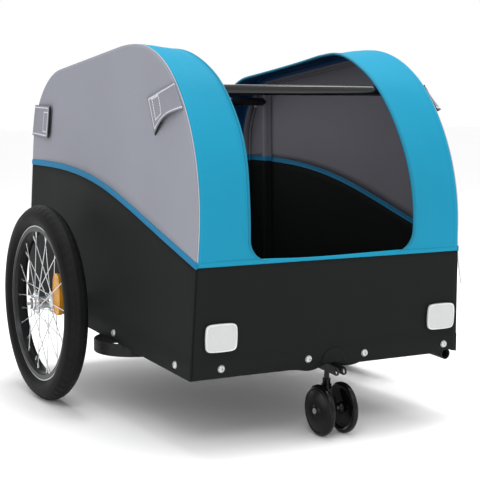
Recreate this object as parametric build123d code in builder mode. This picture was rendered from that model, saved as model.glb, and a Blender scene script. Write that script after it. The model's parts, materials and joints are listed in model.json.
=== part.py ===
"""Two-wheeled child bicycle trailer.

A fabric tub is stretched over a tube frame. It stands on two spoked wheels at the
back and one twin-wheel caster at the front, nose slightly down. The trailer's front
faces -Y, +X is its left-hand side seen from the seat, and the ground is at Z = 0.

Body sizes are given in the body's own axes: y back from the front panel, z up from
a level ground, x across. The datum planes below lean those axes onto the wheels.
"""

import os
from math import asin, cos, degrees, radians, sin, sqrt, tan

from build123d import *

os.makedirs("parts", exist_ok=True)

# ---------------------------------------------------------------- driving dimensions
# Fits and materials.
gap = 0.3  # between a fabric wall and what it lies against
running = 0.05  # radial clearance of a shaft in its bore
slip = 0.1  # radial clearance of a tube over its stub
fabric = 2.0  # a doubled and hemmed woven wall
plate = 3.0  # pressed steel brackets

# Tub.
body_length = 829.0
body_width = 578.0  # across the bottom hem
taper = 2.05  # each side leans in by this angle
lean = 2.93  # nose-down stance of the tub on its wheels
skirt = 155.0  # height of the bottom hem
sill = 353.0  # height of the front and rear lower panels
band_width = 98.0  # coloured strip beside the opening, at the sill
sill_strip = 7.0

# Side outline: a vertical front, two arcs up to the crest, a falling roof, a round
# rear corner and a vertical back.
spring_height = 400.0
rise_radius = 355.0
rise_turn = 45.0
brow_radius = 263.0
crest_radius = 534.0
roof_slope = 9.2
corner_radius = 175.0

# Colour line on the sides, as heights at shares of the body's length.
wave = ((0.0, 351.0), (0.15, 380.0), (0.3, 410.0), (0.5, 445.0), (0.75, 462.0), (1.0, 456.0))
piping_width = 10.4
piping_thickness = 2.6

# Frame tubes.
rail = 22.0  # square tube of the bottom frame
rail_wall = 1.5
hoop_diameter = 19.0
post_diameter = 16.0
tube_wall = 1.5
stub_length = 35.0
post_back = 715.0  # upright that carries the rear crossbar
rear_bar_height = 603.0
front_bar_share = 0.06  # place of the front crossbar along the brow arc
bar_end_gap = 0.8
bolt_diameter = 5.0
bolt_head_radius = 4.5
bolt_head_height = 3.5
floor_thickness = 3.0

# Wheels.
axle_back = 527.0
tyre_radius = 200.0
tyre_section = 24.0
tyre_wall = 4.0
track = 720.0
rim_radius = 160.0
rim_depth = 14.0
rim_width = 27.0
rim_wall = 2.0
spoke_count = 28
spoke_radius = 1.0
spoke_cross = 52.0  # degrees a spoke runs round between hub and rim
spoke_gap = 0.2
spoke_offset = 3.0  # of the rim's holes from its middle
flange_spread = 34.0
flange_radius = 22.0
flange_thickness = 3.0
spoke_circle = 18.0
hub_radius = 12.0
hub_length = 56.0
axle_diameter = 12.0
socket_diameter = 20.0
socket_length = 58.0
socket_stand_off = 1.0  # washer gap between socket and hub
cap_diameter = 22.0
cap_height = 4.0
button_diameter = 6.0
button_travel = 3.0
button_bore = 30.0
saddle_length = 30.0
valve_diameter = 6.0
valve_length = 34.0
valve_turn = 20.0  # degrees from straight down
spoke_reflector_size = (38.0, 84.0)
spoke_reflector_thickness = 10.0
spoke_reflector_place = (-82.0, 28.0)  # back and up from the axle

# Caster.
caster_radius = 47.5
caster_width = 12.0
caster_spread = 49.0
caster_trail = 19.0
stem_diameter = 10.0
caster_axle_diameter = 8.0
housing_width = 16.0
collar_diameter = 15.0
collar_height = 11.0
base_diameter = 19.0
base_height = 8.0
base_drop = 44.0  # from the bottom frame to the top of the base
caster_hub_width = 20.0
caster_hub_radius = 9.0
clip_thickness = 2.0

# Hitch parts.
clevis_reach = 30.0
clevis_gap = 13.0
clevis_hole = 10.0
clevis_eye_radius = 7.3
clevis_height = 151.0
clevis_depth = 16.5  # of the two plates where they leave the tub
notch_radius = 24.0  # half-round cut in the hem above the clevis
tow_socket_diameter = 21.0
tow_socket_length = 200.0
tow_socket_across = 265.0

# Sleeve on the left wall for the rod of a safety flag.
sleeve_back = 26.0
sleeve_foot = 163.0
sleeve_width = 34.0
sleeve_height = 100.0
sleeve_thickness = 10.0
sleeve_pocket = 90.0
flag_rod = 6.5

# Stow loop under the right-hand rail.
loop_radius = 83.0
loop_band = 25.0
loop_thickness = 3.0
loop_across = -230.0
loop_back = 358.0
loop_height = 140.0
loop_lug = (12.0, 4.0)

# Trim.
reflector_width = 62.0
reflector_height = 50.0
reflector_thickness = 6.0
reflector_level = 228.0
reflector_places = (-231.5, 244.0)
screw_level = 172.0
screw_head_diameter = 13.0
screw_head_height = 4.0
screw_shank_diameter = 5.0
end_screw_places = (-229.0, -50.0, 72.0, 256.0)
side_screw_places = (57.0, 329.0, 500.0, 772.0)
tab_thickness = 3.0
# Tab corners, back and up from the front crossbar, and from the rear edge level with
# the rear crossbar.
front_tab = ((-35.0, -31.0), (14.0, 12.0), (102.0, -28.0), (63.0, -82.5))
rear_tab = ((0.0, -13.0), (-97.5, -11.0), (-93.0, -80.0), (0.0, -81.0))
# Label corners, out from the wall and up from the label's root.
label_height = 376.0
label_outline = ((0.0, 0.0), (15.0, -10.0), (43.0, -88.0), (20.0, -92.0), (2.0, -26.0))
label_back = 8.0
label_thickness = 1.5

# ---------------------------------------------------------------- derived places
half_width = body_width / 2
rail_top = screw_level + rail / 2
rail_bottom = screw_level - rail / 2
tow_socket_level = rail_bottom - tow_socket_diameter / 2
rail_across = half_width - (screw_level - skirt) * tan(radians(taper)) - fabric - gap - rail / 2 - 0.4
inner_face = fabric + gap
hoop_inset = inner_face + hoop_diameter / 2
# Lowest point of the leaning uprights' centre lines, so that their feet clear the rail.
upright_foot = (
    rail_top + gap + (hoop_inset + hoop_diameter / 2) * sin(radians(taper))
) / cos(radians(taper))
front_tube_back = inner_face + rail / 2
rear_tube_back = body_length - front_tube_back
slope = radians(roof_slope)
roof_run = (
    body_length
    - (rise_radius * (1 - cos(radians(rise_turn))) + brow_radius * cos(radians(rise_turn)))
    - crest_radius * sin(slope)
    - corner_radius * (1 - sin(slope))
) / cos(slope)

# The lean turns the body about the wheel axis. The caster's axle height follows from
# the lean, so that its wheels and the tyres stand on one ground.
caster_back = front_tube_back - caster_trail
caster_level = tyre_radius + (
    caster_radius - tyre_radius - sin(radians(lean)) * (caster_back - axle_back)
) / cos(radians(lean))
front_reach = (
    cos(radians(lean)) * (axle_back - caster_back)
    + sin(radians(lean)) * (caster_level - tyre_radius)
    + caster_radius
)
rear_reach = cos(radians(lean)) * (body_length + reflector_thickness + gap - axle_back) - sin(
    radians(lean)
) * (reflector_level - reflector_height / 2 - tyre_radius)
axle_place = (front_reach - rear_reach) / 2

across = Vector(1, 0, 0)
along = Vector(0, cos(radians(lean)), sin(radians(lean)))
up = Vector(0, -sin(radians(lean)), cos(radians(lean)))
datum = Vector(0, axle_place, tyre_radius) - along * axle_back - up * tyre_radius

deck = Plane(origin=datum, x_dir=across, z_dir=up)  # offset = height
flank = Plane(origin=datum, x_dir=along, z_dir=across)  # offset = x
face = Plane(origin=datum, x_dir=across, z_dir=-along)  # offset = forward


def half_at(height):
    """Outer half width of the tub at a height."""
    return half_width - (height - skirt) * tan(radians(taper))


def side(k):
    """Plane of one leaning side wall, drawn in (y, z). k is -1 for right, +1 for left."""
    foot = datum + across * (k * (half_width + skirt * tan(radians(taper))))
    normal = across * cos(radians(taper)) + up * (k * sin(radians(taper)))
    return Plane(origin=foot, x_dir=along, z_dir=normal)


def crown(inset, foot, rear_foot):
    """Draws the side outline, inset all round, from the front foot to the rear foot."""
    front = Line((inset, foot), (inset, spring_height))
    rise = JernArc(front @ 1, front % 1, rise_radius - inset, -rise_turn)
    brow = JernArc(rise @ 1, rise % 1, brow_radius - inset, rise_turn - 90)
    crest = JernArc(brow @ 1, brow % 1, crest_radius - inset, -roof_slope)
    roof = Line(crest @ 1, crest @ 1 + (crest % 1) * roof_run)
    corner = JernArc(roof @ 1, roof % 1, corner_radius - inset, roof_slope - 90)
    rear = Line(corner @ 1, (body_length - inset, rear_foot))
    return front, rise, brow, crest, roof, corner, rear


def wave_line(rise):
    """Draws the colour line of the sides, raised by a height."""
    return Spline(*[(share * body_length, height + rise) for share, height in wave])


def save(part, label):
    """Names a finished piece and writes it."""
    part.label = label
    export_step(part, f"parts/{label}.step")


sides = {"right": -1, "left": 1}

# ---------------------------------------------------------------- bottom frame
for name, k in sides.items():
    with BuildPart() as side_rail:
        with BuildSketch(face.offset(-inner_face)):
            with Locations((k * rail_across, screw_level)):
                Rectangle(rail, rail)
                Rectangle(rail - 2 * rail_wall, rail - 2 * rail_wall, mode=Mode.SUBTRACT)
        extrude(amount=-(body_length - 2 * inner_face))
    save(side_rail.part, f"side_rail_{name}")

cross_length = 2 * rail_across - rail
for name, back in (("front", front_tube_back), ("axle", axle_back), ("rear", rear_tube_back)):
    with BuildPart() as cross_tube:
        with BuildSketch(flank.offset(-cross_length / 2)):
            with Locations((back, screw_level)):
                Rectangle(rail, rail)
                Rectangle(rail - 2 * rail_wall, rail - 2 * rail_wall, mode=Mode.SUBTRACT)
        extrude(amount=cross_length)
        if name == "front":
            # Bush for the caster's stem, and the bore through it.
            with BuildSketch(deck.offset(rail_bottom + rail_wall / 2)):
                with Locations((0, front_tube_back)):
                    Circle(stem_diameter / 2 + 3)
            extrude(amount=rail - rail_wall)
            with BuildSketch(deck.offset(rail_bottom - 1)):
                with Locations((0, front_tube_back)):
                    Circle(stem_diameter / 2 + running)
            extrude(amount=rail + 2, mode=Mode.SUBTRACT)
    save(cross_tube.part, f"{name}_cross_tube")

floor_half = rail_across - rail / 2 + 1.5
with BuildPart() as floor_panel:
    with BuildSketch(deck.offset(rail_top + gap)):
        with Locations((0, body_length / 2)):
            RectangleRounded(2 * floor_half, body_length - 2 * inner_face - 2 * gap, 6)
        with Locations((0, front_tube_back)):
            Circle(stem_diameter / 2 + 8, mode=Mode.SUBTRACT)
    extrude(amount=floor_thickness)
save(floor_panel.part, "floor_panel")

# ---------------------------------------------------------------- side hoops and posts
with BuildLine() as ridge:
    segments = crown(hoop_inset, upright_foot, upright_foot)
front_bar = segments[2] @ front_bar_share
roof_bend = segments[4] @ 1
hoop_line = ridge.wire()


def hoop_at(height):
    """Half width to a hoop's centre line at a height."""
    return half_at(height) - hoop_inset / cos(radians(taper))


hoop_paths = {}
for name, k in sides.items():
    path = side(k).offset(-k * hoop_inset).from_local_coords(hoop_line)
    hoop_paths[name] = path
    with BuildPart() as hoop:
        with BuildSketch(Plane(origin=path @ 0, x_dir=across, z_dir=path % 0)):
            Circle(hoop_diameter / 2)
            Circle(hoop_diameter / 2 - tube_wall, mode=Mode.SUBTRACT)
        sweep(path=path)
        # Stub that the front crossbar slips over.
        root = hoop_at(front_bar.Y)
        with BuildSketch(flank.offset(k * root)):
            with Locations((front_bar.X, front_bar.Y)):
                Circle(hoop_diameter / 2 - tube_wall - slip)
        extrude(amount=-k * (hoop_diameter / 2 + stub_length))
    save(hoop.part, f"hoop_{name}")

for name, k in sides.items():
    with BuildPart() as post:
        foot = side(k).offset(-k * hoop_inset).from_local_coords((post_back, upright_foot))
        head = side(k).offset(-k * hoop_inset).from_local_coords((post_back, roof_bend.Y))
        with BuildSketch(Plane(origin=foot, x_dir=across, z_dir=head - foot)):
            Circle(post_diameter / 2)
            Circle(post_diameter / 2 - tube_wall, mode=Mode.SUBTRACT)
        extrude(amount=(head - foot).length)
        # The head is coped round the hoop above it.
        path = hoop_paths[name]
        with BuildSketch(Plane(origin=path @ 0, x_dir=across, z_dir=path % 0)):
            Circle(hoop_diameter / 2 + gap)
        sweep(path=path, mode=Mode.SUBTRACT)
        root = hoop_at(rear_bar_height)
        with BuildSketch(flank.offset(k * root)):
            with Locations((post_back, rear_bar_height)):
                Circle(hoop_diameter / 2 - tube_wall - slip)
        extrude(amount=-k * (post_diameter / 2 + stub_length))
        # What the cope leaves above the hoop is cut off.
        split(bisect_by=deck.offset(roof_bend.Y), keep=Keep.BOTTOM)
    upright = post.part.solids().sort_by(SortBy.VOLUME)[-1]
    save(Part(upright.wrapped), f"post_{name}")

# ---------------------------------------------------------------- crossbars
front_bar_half = hoop_at(front_bar.Y) - hoop_diameter / 2 - bar_end_gap
rear_bar_half = hoop_at(rear_bar_height) - post_diameter / 2 - bar_end_gap
bars = {
    "front": (front_bar.X, front_bar.Y, front_bar_half),
    "rear": (post_back, rear_bar_height, rear_bar_half),
}
for name, (back, height, reach) in bars.items():
    with BuildPart() as crossbar:
        with BuildSketch(flank.offset(-reach)):
            with Locations((back, height)):
                Circle(hoop_diameter / 2)
                Circle(hoop_diameter / 2 - tube_wall, mode=Mode.SUBTRACT)
        extrude(amount=2 * reach)
    save(crossbar.part, f"crossbar_{name}")

# Bolts lock the bars on their stubs, heads down.
with BuildPart() as bar_bolts:
    for back, height, reach in bars.values():
        for k in sides.values():
            place = (k * (reach - stub_length / 2), back)
            with BuildSketch(deck.offset(height - hoop_diameter / 2)):
                with Locations(place):
                    Circle(bolt_diameter / 2)
            extrude(amount=hoop_diameter)
            with BuildSketch(deck.offset(height - hoop_diameter / 2)):
                with Locations(place):
                    RegularPolygon(bolt_head_radius, 6)
            extrude(amount=-bolt_head_height)
save(bar_bolts.part, "bar_bolts")

# ---------------------------------------------------------------- fabric walls
def end_height(edge_rise, end):
    """Height of the raised colour line at the front (0) or the back (-1)."""
    return wave[end][1] + edge_rise


upper_rise = piping_width + 2 * gap
for name, k in sides.items():
    wall = side(k).offset(-k * fabric)
    with BuildPart() as side_upper:
        with BuildSketch(wall):
            with BuildLine():
                wave_line(upper_rise)
                crown(0, end_height(upper_rise, 0), end_height(upper_rise, -1))
            make_face()
        extrude(amount=k * fabric)
    save(side_upper.part, f"side_upper_{name}")

    with BuildPart() as piping:
        with BuildSketch(wall):
            with BuildLine():
                low = wave_line(gap)
                high = wave_line(gap + piping_width)
                Line(low @ 0, high @ 0)
                Line(low @ 1, high @ 1)
            make_face()
        extrude(amount=k * piping_thickness)
    save(piping.part, f"piping_{name}")

    with BuildPart() as side_lower:
        with BuildSketch(wall):
            with BuildLine():
                top = wave_line(0)
                Polyline(top @ 0, (0, skirt), (body_length, skirt), top @ 1)
            make_face()
            # Eyelet for the wheel socket.
            with Locations((axle_back, tyre_radius)):
                Circle(socket_diameter / 2 + 2, mode=Mode.SUBTRACT)
        extrude(amount=k * fabric)
    save(side_lower.part, f"side_lower_{name}")

# Front and rear lower panels fit between the side walls.
for name, back in (("front", 0.0), ("rear", body_length - fabric)):
    low_half = half_at(skirt) - fabric - gap
    high_half = half_at(sill) - fabric - gap
    with BuildPart() as lower_panel:
        with BuildSketch(face.offset(-back)):
            with BuildLine():
                Polyline(
                    (-low_half, skirt), (low_half, skirt), (high_half, sill), (-high_half, sill),
                    close=True,
                )
            make_face()
            if name == "front":
                # Half-round cuts in the hem for the hitch clevis and the tow socket.
                with Locations((0, skirt)):
                    Circle(notch_radius, mode=Mode.SUBTRACT)
                with Locations((tow_socket_across, tow_socket_level)):
                    Circle(tow_socket_diameter / 2 + gap, mode=Mode.SUBTRACT)
        extrude(amount=-fabric)
    save(lower_panel.part, f"{name}_lower_panel")

    strip_low = half_at(sill) - band_width
    with BuildPart() as sill_trim:
        with BuildSketch(face.offset(-back)):
            with Locations((0, sill + gap + sill_strip / 2)):
                Rectangle(2 * strip_low - 2 * gap, sill_strip)
        extrude(amount=-fabric)
    save(sill_trim.part, f"sill_strip_{name}")

# Coloured bands: they run up the front, over the roof and down the back.
band_inner = half_at(sill) - band_width
for name, k in sides.items():
    with BuildPart() as band:
        with BuildSketch(flank.offset(k * band_inner)):
            with BuildLine():
                outer = crown(0, sill + gap, sill + gap)
                inner = crown(fabric, sill + gap, sill + gap)
                Line(outer[0] @ 0, inner[0] @ 0)
                Line(outer[6] @ 1, inner[6] @ 1)
            make_face()
        extrude(amount=k * (band_width + 5))
        # The leaning side wall stops it.
        bound = side(k).offset(-k * inner_face)
        split(bisect_by=bound, keep=Keep.BOTTOM if k > 0 else Keep.TOP)
    save(band.part, f"band_{name}")

# Tabs on the side walls at the crossbars.
for name, k in sides.items():
    with BuildPart() as bar_tabs:
        # The front tab points back and down, square to the brow.
        with BuildSketch(side(k).offset(k * gap)):
            with Locations((front_bar.X, front_bar.Y)):
                Polygon(*front_tab, align=None)
            with Locations((body_length, rear_bar_height)):
                Polygon(*rear_tab, align=None)
        extrude(amount=k * tab_thickness)
    save(bar_tabs.part, f"bar_tabs_{name}")

# ---------------------------------------------------------------- reflectors and screws
for name, front_of in (("front", 0.0), ("rear", body_length)):
    outward = 1 if name == "front" else -1
    with BuildPart() as reflectors:
        with BuildSketch(face.offset(-front_of + outward * gap)):
            for place in reflector_places:
                with Locations((place, reflector_level)):
                    RectangleRounded(reflector_width, reflector_height, 9)
        extrude(amount=outward * reflector_thickness)
        outer_face = reflectors.faces().sort_by(Axis(datum, along * -outward))[-2:]
        chamfer(outer_face.edges(), 1.5)
    save(reflectors.part, f"reflectors_{name}")


# One pan-head screw, head up, its seat at the origin.
with BuildPart() as pan_screw:
    with BuildSketch(Plane.XY):
        Circle(screw_head_diameter / 2)
    extrude(amount=screw_head_height)
    fillet(pan_screw.edges().sort_by(Axis.Z)[-1], screw_head_height * 0.7)
    with BuildSketch(Plane.XY):
        Circle(screw_shank_diameter / 2)
    extrude(amount=-8)


def seat_on(wall, place, height, facing):
    """A plane on a wall at (place, height) that faces along a direction."""
    return Plane(origin=wall.from_local_coords((place, height, 0)), x_dir=up, z_dir=facing)


seats = []
for place in end_screw_places:
    seats.append(seat_on(face.offset(gap), place, screw_level, -along))
    seats.append(seat_on(face.offset(-body_length - gap), place, screw_level, along))
for k in sides.values():
    wall = side(k).offset(k * gap)
    for place in side_screw_places:
        seats.append(seat_on(wall, place, screw_level, wall.z_dir * k))
with BuildPart() as panel_screws:
    with Locations(*seats):
        add(pan_screw.part)
save(panel_screws.part, "panel_screws")

# ---------------------------------------------------------------- flag sleeve and label
with BuildPart() as flag_sleeve:
    with BuildSketch(side(1).offset(gap)):
        with Locations((sleeve_back, sleeve_foot + sleeve_height / 2)):
            RectangleRounded(sleeve_width, sleeve_height, 4)
    extrude(amount=sleeve_thickness)
    # Blind pocket for the foot of the flag's rod.
    mouth = side(1).from_local_coords((sleeve_back, sleeve_foot + sleeve_height, gap + sleeve_thickness / 2))
    with BuildSketch(Plane(origin=mouth, x_dir=along, z_dir=side(1).y_dir)):
        Circle(flag_rod / 2)
    extrude(amount=-sleeve_pocket, mode=Mode.SUBTRACT)
save(flag_sleeve.part, "flag_sleeve")

# The label hangs out from the front seam, sewn in by its upper corner.
label_root = half_at(label_height) + gap
with BuildPart() as side_label:
    with BuildSketch(face.offset(-label_back)):
        with Locations((label_root, label_height)):
            Polygon(*label_outline, align=None)
    extrude(amount=-label_thickness)
save(side_label.part, "side_label")

# ---------------------------------------------------------------- hitch parts
with BuildPart() as tow_socket:
    with BuildSketch(face.offset(-inner_face)):
        with Locations((tow_socket_across, tow_socket_level)):
            Circle(tow_socket_diameter / 2)
            Circle(tow_socket_diameter / 2 - tube_wall, mode=Mode.SUBTRACT)
    extrude(amount=-tow_socket_length)
save(tow_socket.part, "tow_socket")

ear_top = rail_bottom
clevis_back = 2 * front_tube_back
with BuildPart() as hitch_clevis:
    for k in sides.values():
        with BuildSketch(flank.offset(k * clevis_gap / 2)):
            with Locations((-clevis_reach, clevis_height)):
                Circle(clevis_eye_radius)
            with BuildLine():
                Polyline(
                    (-clevis_reach - 1, clevis_height + clevis_eye_radius),
                    (inner_face, ear_top), (clevis_back, ear_top),
                    (clevis_back, ear_top - clevis_depth), (inner_face, ear_top - clevis_depth),
                    (-clevis_reach, clevis_height - clevis_eye_radius),
                    close=True,
                )
            make_face()
            with Locations((-clevis_reach, clevis_height)):
                Circle(clevis_hole / 2, mode=Mode.SUBTRACT)
        extrude(amount=k * plate)
    with BuildSketch(deck.offset(ear_top - plate)):
        with Locations((0, (inner_face + clevis_back) / 2)):
            Rectangle(clevis_gap + plate, clevis_back - inner_face)
        with Locations((0, front_tube_back)):
            Circle(stem_diameter / 2 + 0.6, mode=Mode.SUBTRACT)
    extrude(amount=plate)
save(hitch_clevis.part, "hitch_clevis")

loop_hang = rail_bottom - (loop_height + loop_band / 2)
with BuildPart() as stow_loop:
    with BuildSketch(deck.offset(loop_height - loop_band / 2)):
        with Locations((loop_across, loop_back)):
            Circle(loop_radius)
            Circle(loop_radius - loop_thickness, mode=Mode.SUBTRACT)
    extrude(amount=loop_band)
    # Two lugs hang it from the side rail.
    lug_offset = -rail_across - loop_across
    lug_reach = sqrt((loop_radius - loop_thickness / 2) ** 2 - lug_offset**2)
    for turn in (-1, 1):
        with BuildSketch(deck.offset(loop_height)):
            with Locations((-rail_across, loop_back + turn * lug_reach)):
                Rectangle(*loop_lug, rotation=-turn * degrees(asin(lug_offset / loop_radius)))
        extrude(amount=loop_band / 2 + loop_hang)
save(stow_loop.part, "stow_loop")

# ---------------------------------------------------------------- wheels
def axle_plane(x):
    """Plane across the wheel axis at x, drawn in (back, up)."""
    return Plane(origin=(x, axle_place, tyre_radius), x_dir=(0, 1, 0), z_dir=(1, 0, 0))


def section_plane(x):
    """Plane through the wheel axis, drawn in (x from the wheel's middle, radius)."""
    return Plane(origin=(x, axle_place, tyre_radius), x_dir=(1, 0, 0), z_dir=(0, -1, 0))


wheel_axis = Axis((0, axle_place, tyre_radius), (1, 0, 0))
socket_end = track / 2 - hub_length / 2 - socket_stand_off
axle_inner = socket_end - socket_length
bed = rim_radius - rim_depth  # radius of the rim's floor

for name, k in sides.items():
    middle = k * track / 2
    with BuildPart() as tyre:
        with BuildSketch(section_plane(middle)):
            with Locations((0, tyre_radius - tyre_section)):
                Circle(tyre_section)
                Circle(tyre_section - tyre_wall, mode=Mode.SUBTRACT)
            # Room for the rim between the beads.
            with Locations((0, bed)):
                Rectangle(rim_width + 2 * running, 2 * rim_depth + 2 * running, mode=Mode.SUBTRACT)
        revolve(axis=wheel_axis)
    save(tyre.part, f"tyre_{name}")

    with BuildPart() as rim:
        with BuildSketch(section_plane(middle)):
            with BuildLine():
                # A flat floor, two sloping shoulders and two flanges.
                half = rim_width / 2
                well = rim_width / 4
                lip = half - rim_wall
                Polyline(
                    (-half, rim_radius), (-lip, rim_radius), (-lip, bed + 2 * rim_wall),
                    (-well, bed + rim_wall), (well, bed + rim_wall), (lip, bed + 2 * rim_wall),
                    (lip, rim_radius), (half, rim_radius), (half, bed + rim_wall),
                    (well, bed), (-well, bed), (-half, bed + rim_wall),
                    close=True,
                )
            make_face()
        revolve(axis=wheel_axis)
    save(rim.part, f"rim_{name}")

    with BuildPart() as hub:
        with BuildSketch(axle_plane(middle - hub_length / 2)):
            Circle(hub_radius)
        extrude(amount=hub_length)
        for turn in (-1, 1):
            with BuildSketch(axle_plane(middle + turn * flange_spread / 2 - flange_thickness / 2)):
                Circle(flange_radius)
                with PolarLocations(spoke_circle, spoke_count // 2):
                    Circle(spoke_radius + running, mode=Mode.SUBTRACT)
            extrude(amount=flange_thickness)
        with BuildSketch(axle_plane(middle - hub_length / 2 - 1)):
            Circle(axle_diameter / 2 + running)
        extrude(amount=hub_length + 2, mode=Mode.SUBTRACT)
    save(hub.part, f"hub_{name}")

    with BuildPart() as spokes:
        for turn in (-1, 1):
            per_flange = spoke_count // 2
            for index in range(per_flange):
                # Each spoke runs forward or back, outside or inside its flange.
                lay = 1 if index % 2 else -1
                start_angle = radians(360 / per_flange * index)
                hole = 2 * index + (turn + 1) / 2
                rim_angle = radians(360 / spoke_count * hole + lay * spoke_cross)
                beside = lay * (flange_thickness / 2 + spoke_radius + spoke_gap)
                start = Vector(
                    middle + turn * flange_spread / 2 + beside,
                    axle_place + spoke_circle * cos(start_angle),
                    tyre_radius + spoke_circle * sin(start_angle),
                )
                reach = bed + rim_wall / 2
                end = Vector(
                    middle + turn * spoke_offset,
                    axle_place + reach * cos(rim_angle),
                    tyre_radius + reach * sin(rim_angle),
                )
                with BuildSketch(Plane(origin=start, z_dir=end - start)):
                    Circle(spoke_radius)
                extrude(amount=(end - start).length)
    save(spokes.part, f"spokes_{name}")

    # Amber reflector clipped between the spokes, ahead of the hub at rest.
    with BuildPart() as spoke_reflector:
        with BuildSketch(axle_plane(middle - spoke_reflector_thickness / 2)):
            with Locations(spoke_reflector_place):
                RectangleRounded(*spoke_reflector_size, 8)
        extrude(amount=spoke_reflector_thickness)
    save(spoke_reflector.part, f"spoke_reflector_{name}")

    with BuildPart() as valve:
        turned = radians(valve_turn)
        spoke_way = Plane(
            origin=(middle, axle_place, tyre_radius),
            x_dir=(1, 0, 0),
            z_dir=(0, sin(turned), -cos(turned)),
        )
        with BuildSketch(spoke_way.offset(rim_radius - rim_wall - valve_length)):
            Circle(valve_diameter / 2)
        extrude(amount=valve_length)
    save(valve.part, f"valve_{name}")

    with BuildPart() as wheel_socket:
        with BuildSketch(axle_plane(k * axle_inner)):
            Circle(socket_diameter / 2)
            Circle(axle_diameter / 2 + slip, mode=Mode.SUBTRACT)
        extrude(amount=k * socket_length)
        # Saddle that stands the socket on the side rail.
        with BuildSketch(deck.offset(rail_top)):
            with Locations((k * rail_across, axle_back)):
                Rectangle(0.7 * rail, saddle_length)
        extrude(amount=tyre_radius - rail_top - axle_diameter / 2 - 1)
    save(wheel_socket.part, f"wheel_socket_{name}")

    # Quick-release pin: it plugs through hub and socket, with its cap outside.
    pin_outer = track / 2 + hub_length / 2 + socket_stand_off / 2
    with BuildPart() as axle_pin:
        with BuildSketch(axle_plane(k * axle_inner)):
            Circle(axle_diameter / 2)
        extrude(amount=k * (pin_outer - axle_inner))
        with BuildSketch(axle_plane(k * pin_outer)):
            Circle(cap_diameter / 2)
        extrude(amount=k * cap_height)
        with BuildSketch(axle_plane(k * (pin_outer + cap_height))):
            Circle(button_diameter / 2 + running)
        extrude(amount=-k * button_bore, mode=Mode.SUBTRACT)
    save(axle_pin.part, f"axle_pin_{name}")

    with BuildPart() as release_button:
        with BuildSketch(axle_plane(k * (pin_outer + cap_height + button_travel + 1))):
            Circle(button_diameter / 2)
        extrude(amount=-k * (button_bore - button_travel))
        fillet(release_button.edges().sort_by(Axis.X)[0 if k < 0 else -1], 1)
    save(release_button.part, f"release_button_{name}")

# ---------------------------------------------------------------- caster
base_top = rail_bottom - base_drop
collar_top = base_top + collar_height
base_bottom = base_top - base_height
stem_top = rail_top + gap + 2 * clip_thickness
nose = housing_width / 2  # half depth of the body between the wheels
with BuildPart() as caster_yoke:
    # Stem, collar and base stand on the swivel axis.
    with BuildSketch(deck.offset(base_top)):
        with Locations((0, front_tube_back)):
            Circle(stem_diameter / 2)
    extrude(amount=stem_top - base_top)
    with BuildSketch(deck.offset(base_top)):
        with Locations((0, front_tube_back)):
            Circle(collar_diameter / 2)
    extrude(amount=collar_top - base_top)
    with BuildSketch(deck.offset(base_bottom)):
        with Locations((0, front_tube_back)):
            Circle(base_diameter / 2)
    extrude(amount=base_top - base_bottom)
    # The body between the wheels runs forward to the axle.
    with BuildSketch(flank.offset(-housing_width / 2)):
        with BuildLine():
            Polyline(
                (front_tube_back - nose, base_bottom + 2), (front_tube_back + nose, base_bottom + 2),
                (front_tube_back + nose, base_bottom - nose), (caster_back + nose, caster_level - nose),
                (caster_back - nose, caster_level - nose / 2), (caster_back - nose, caster_level + nose),
                close=True,
            )
        make_face()
    extrude(amount=housing_width)
    with BuildSketch(flank.offset(-housing_width / 2 - 1)):
        with Locations((caster_back, caster_level)):
            Circle(caster_axle_diameter / 2)
    extrude(amount=housing_width + 2, mode=Mode.SUBTRACT)
save(caster_yoke.part, "caster_yoke")

with BuildPart() as stem_clip:
    with BuildSketch(deck.offset(rail_top + gap)):
        with Locations((0, front_tube_back)):
            Circle(stem_diameter / 2 + 3)
            Circle(stem_diameter / 2, mode=Mode.SUBTRACT)
    extrude(amount=clip_thickness)
save(stem_clip.part, "stem_clip")

axle_half = caster_spread / 2 + caster_hub_width / 2 + 1
with BuildPart() as caster_axle:
    with BuildSketch(flank.offset(-axle_half)):
        with Locations((caster_back, caster_level)):
            Circle(caster_axle_diameter / 2)
    extrude(amount=2 * axle_half)
    for k in sides.values():
        with BuildSketch(flank.offset(k * axle_half)):
            with Locations((caster_back, caster_level)):
                Circle(caster_axle_diameter / 2 + 1.5)
        extrude(amount=k * 1.5)
save(caster_axle.part, "caster_axle")

caster_middle = deck.from_local_coords((0, caster_back, caster_level))
caster_axis = Axis(caster_middle, (1, 0, 0))
for name, k in sides.items():
    seat = caster_middle + across * (k * caster_spread / 2)
    half = caster_width / 2
    with BuildPart() as caster_wheel:
        with BuildSketch(Plane(origin=seat, x_dir=across * k, z_dir=Vector(0, -k, 0))):
            with BuildLine():
                # Domed outside, dished inside, with a rounded tread.
                bore = caster_axle_diameter / 2 + running
                crest = caster_radius - half / 2
                inside = Polyline(
                    (caster_hub_width / 2, bore), (-caster_hub_width / 2, bore),
                    (-caster_hub_width / 2, caster_hub_radius), (-half / 2, caster_hub_radius + half / 2),
                    (-half / 2, crest - half), (-half, crest - half / 2), (-half, crest),
                )
                tread = ThreePointArc(inside @ 1, (0, caster_radius), (half, crest))
                edge = Line(tread @ 1, (half, crest - 0.8 * half))
                ThreePointArc(edge @ 1, (1.5 * half, caster_radius / 2), inside @ 0)
            make_face()
        revolve(axis=caster_axis)
    save(caster_wheel.part, f"caster_wheel_{name}")
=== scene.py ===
"""Looks of the child bicycle trailer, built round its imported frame.

All sizes are in metres. Tub pieces are drawn in the tub's own axes (x across, y back from
the front panel, z up from a level ground) and are then leaned onto the wheels.
"""

import json
from math import atan2, cos, exp, hypot, pi, radians, sin, tan

import bmesh
import bpy
import numpy as np
from bpy.props import FloatProperty, FloatVectorProperty, PointerProperty
from mathutils import Matrix, Vector, noise


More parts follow.
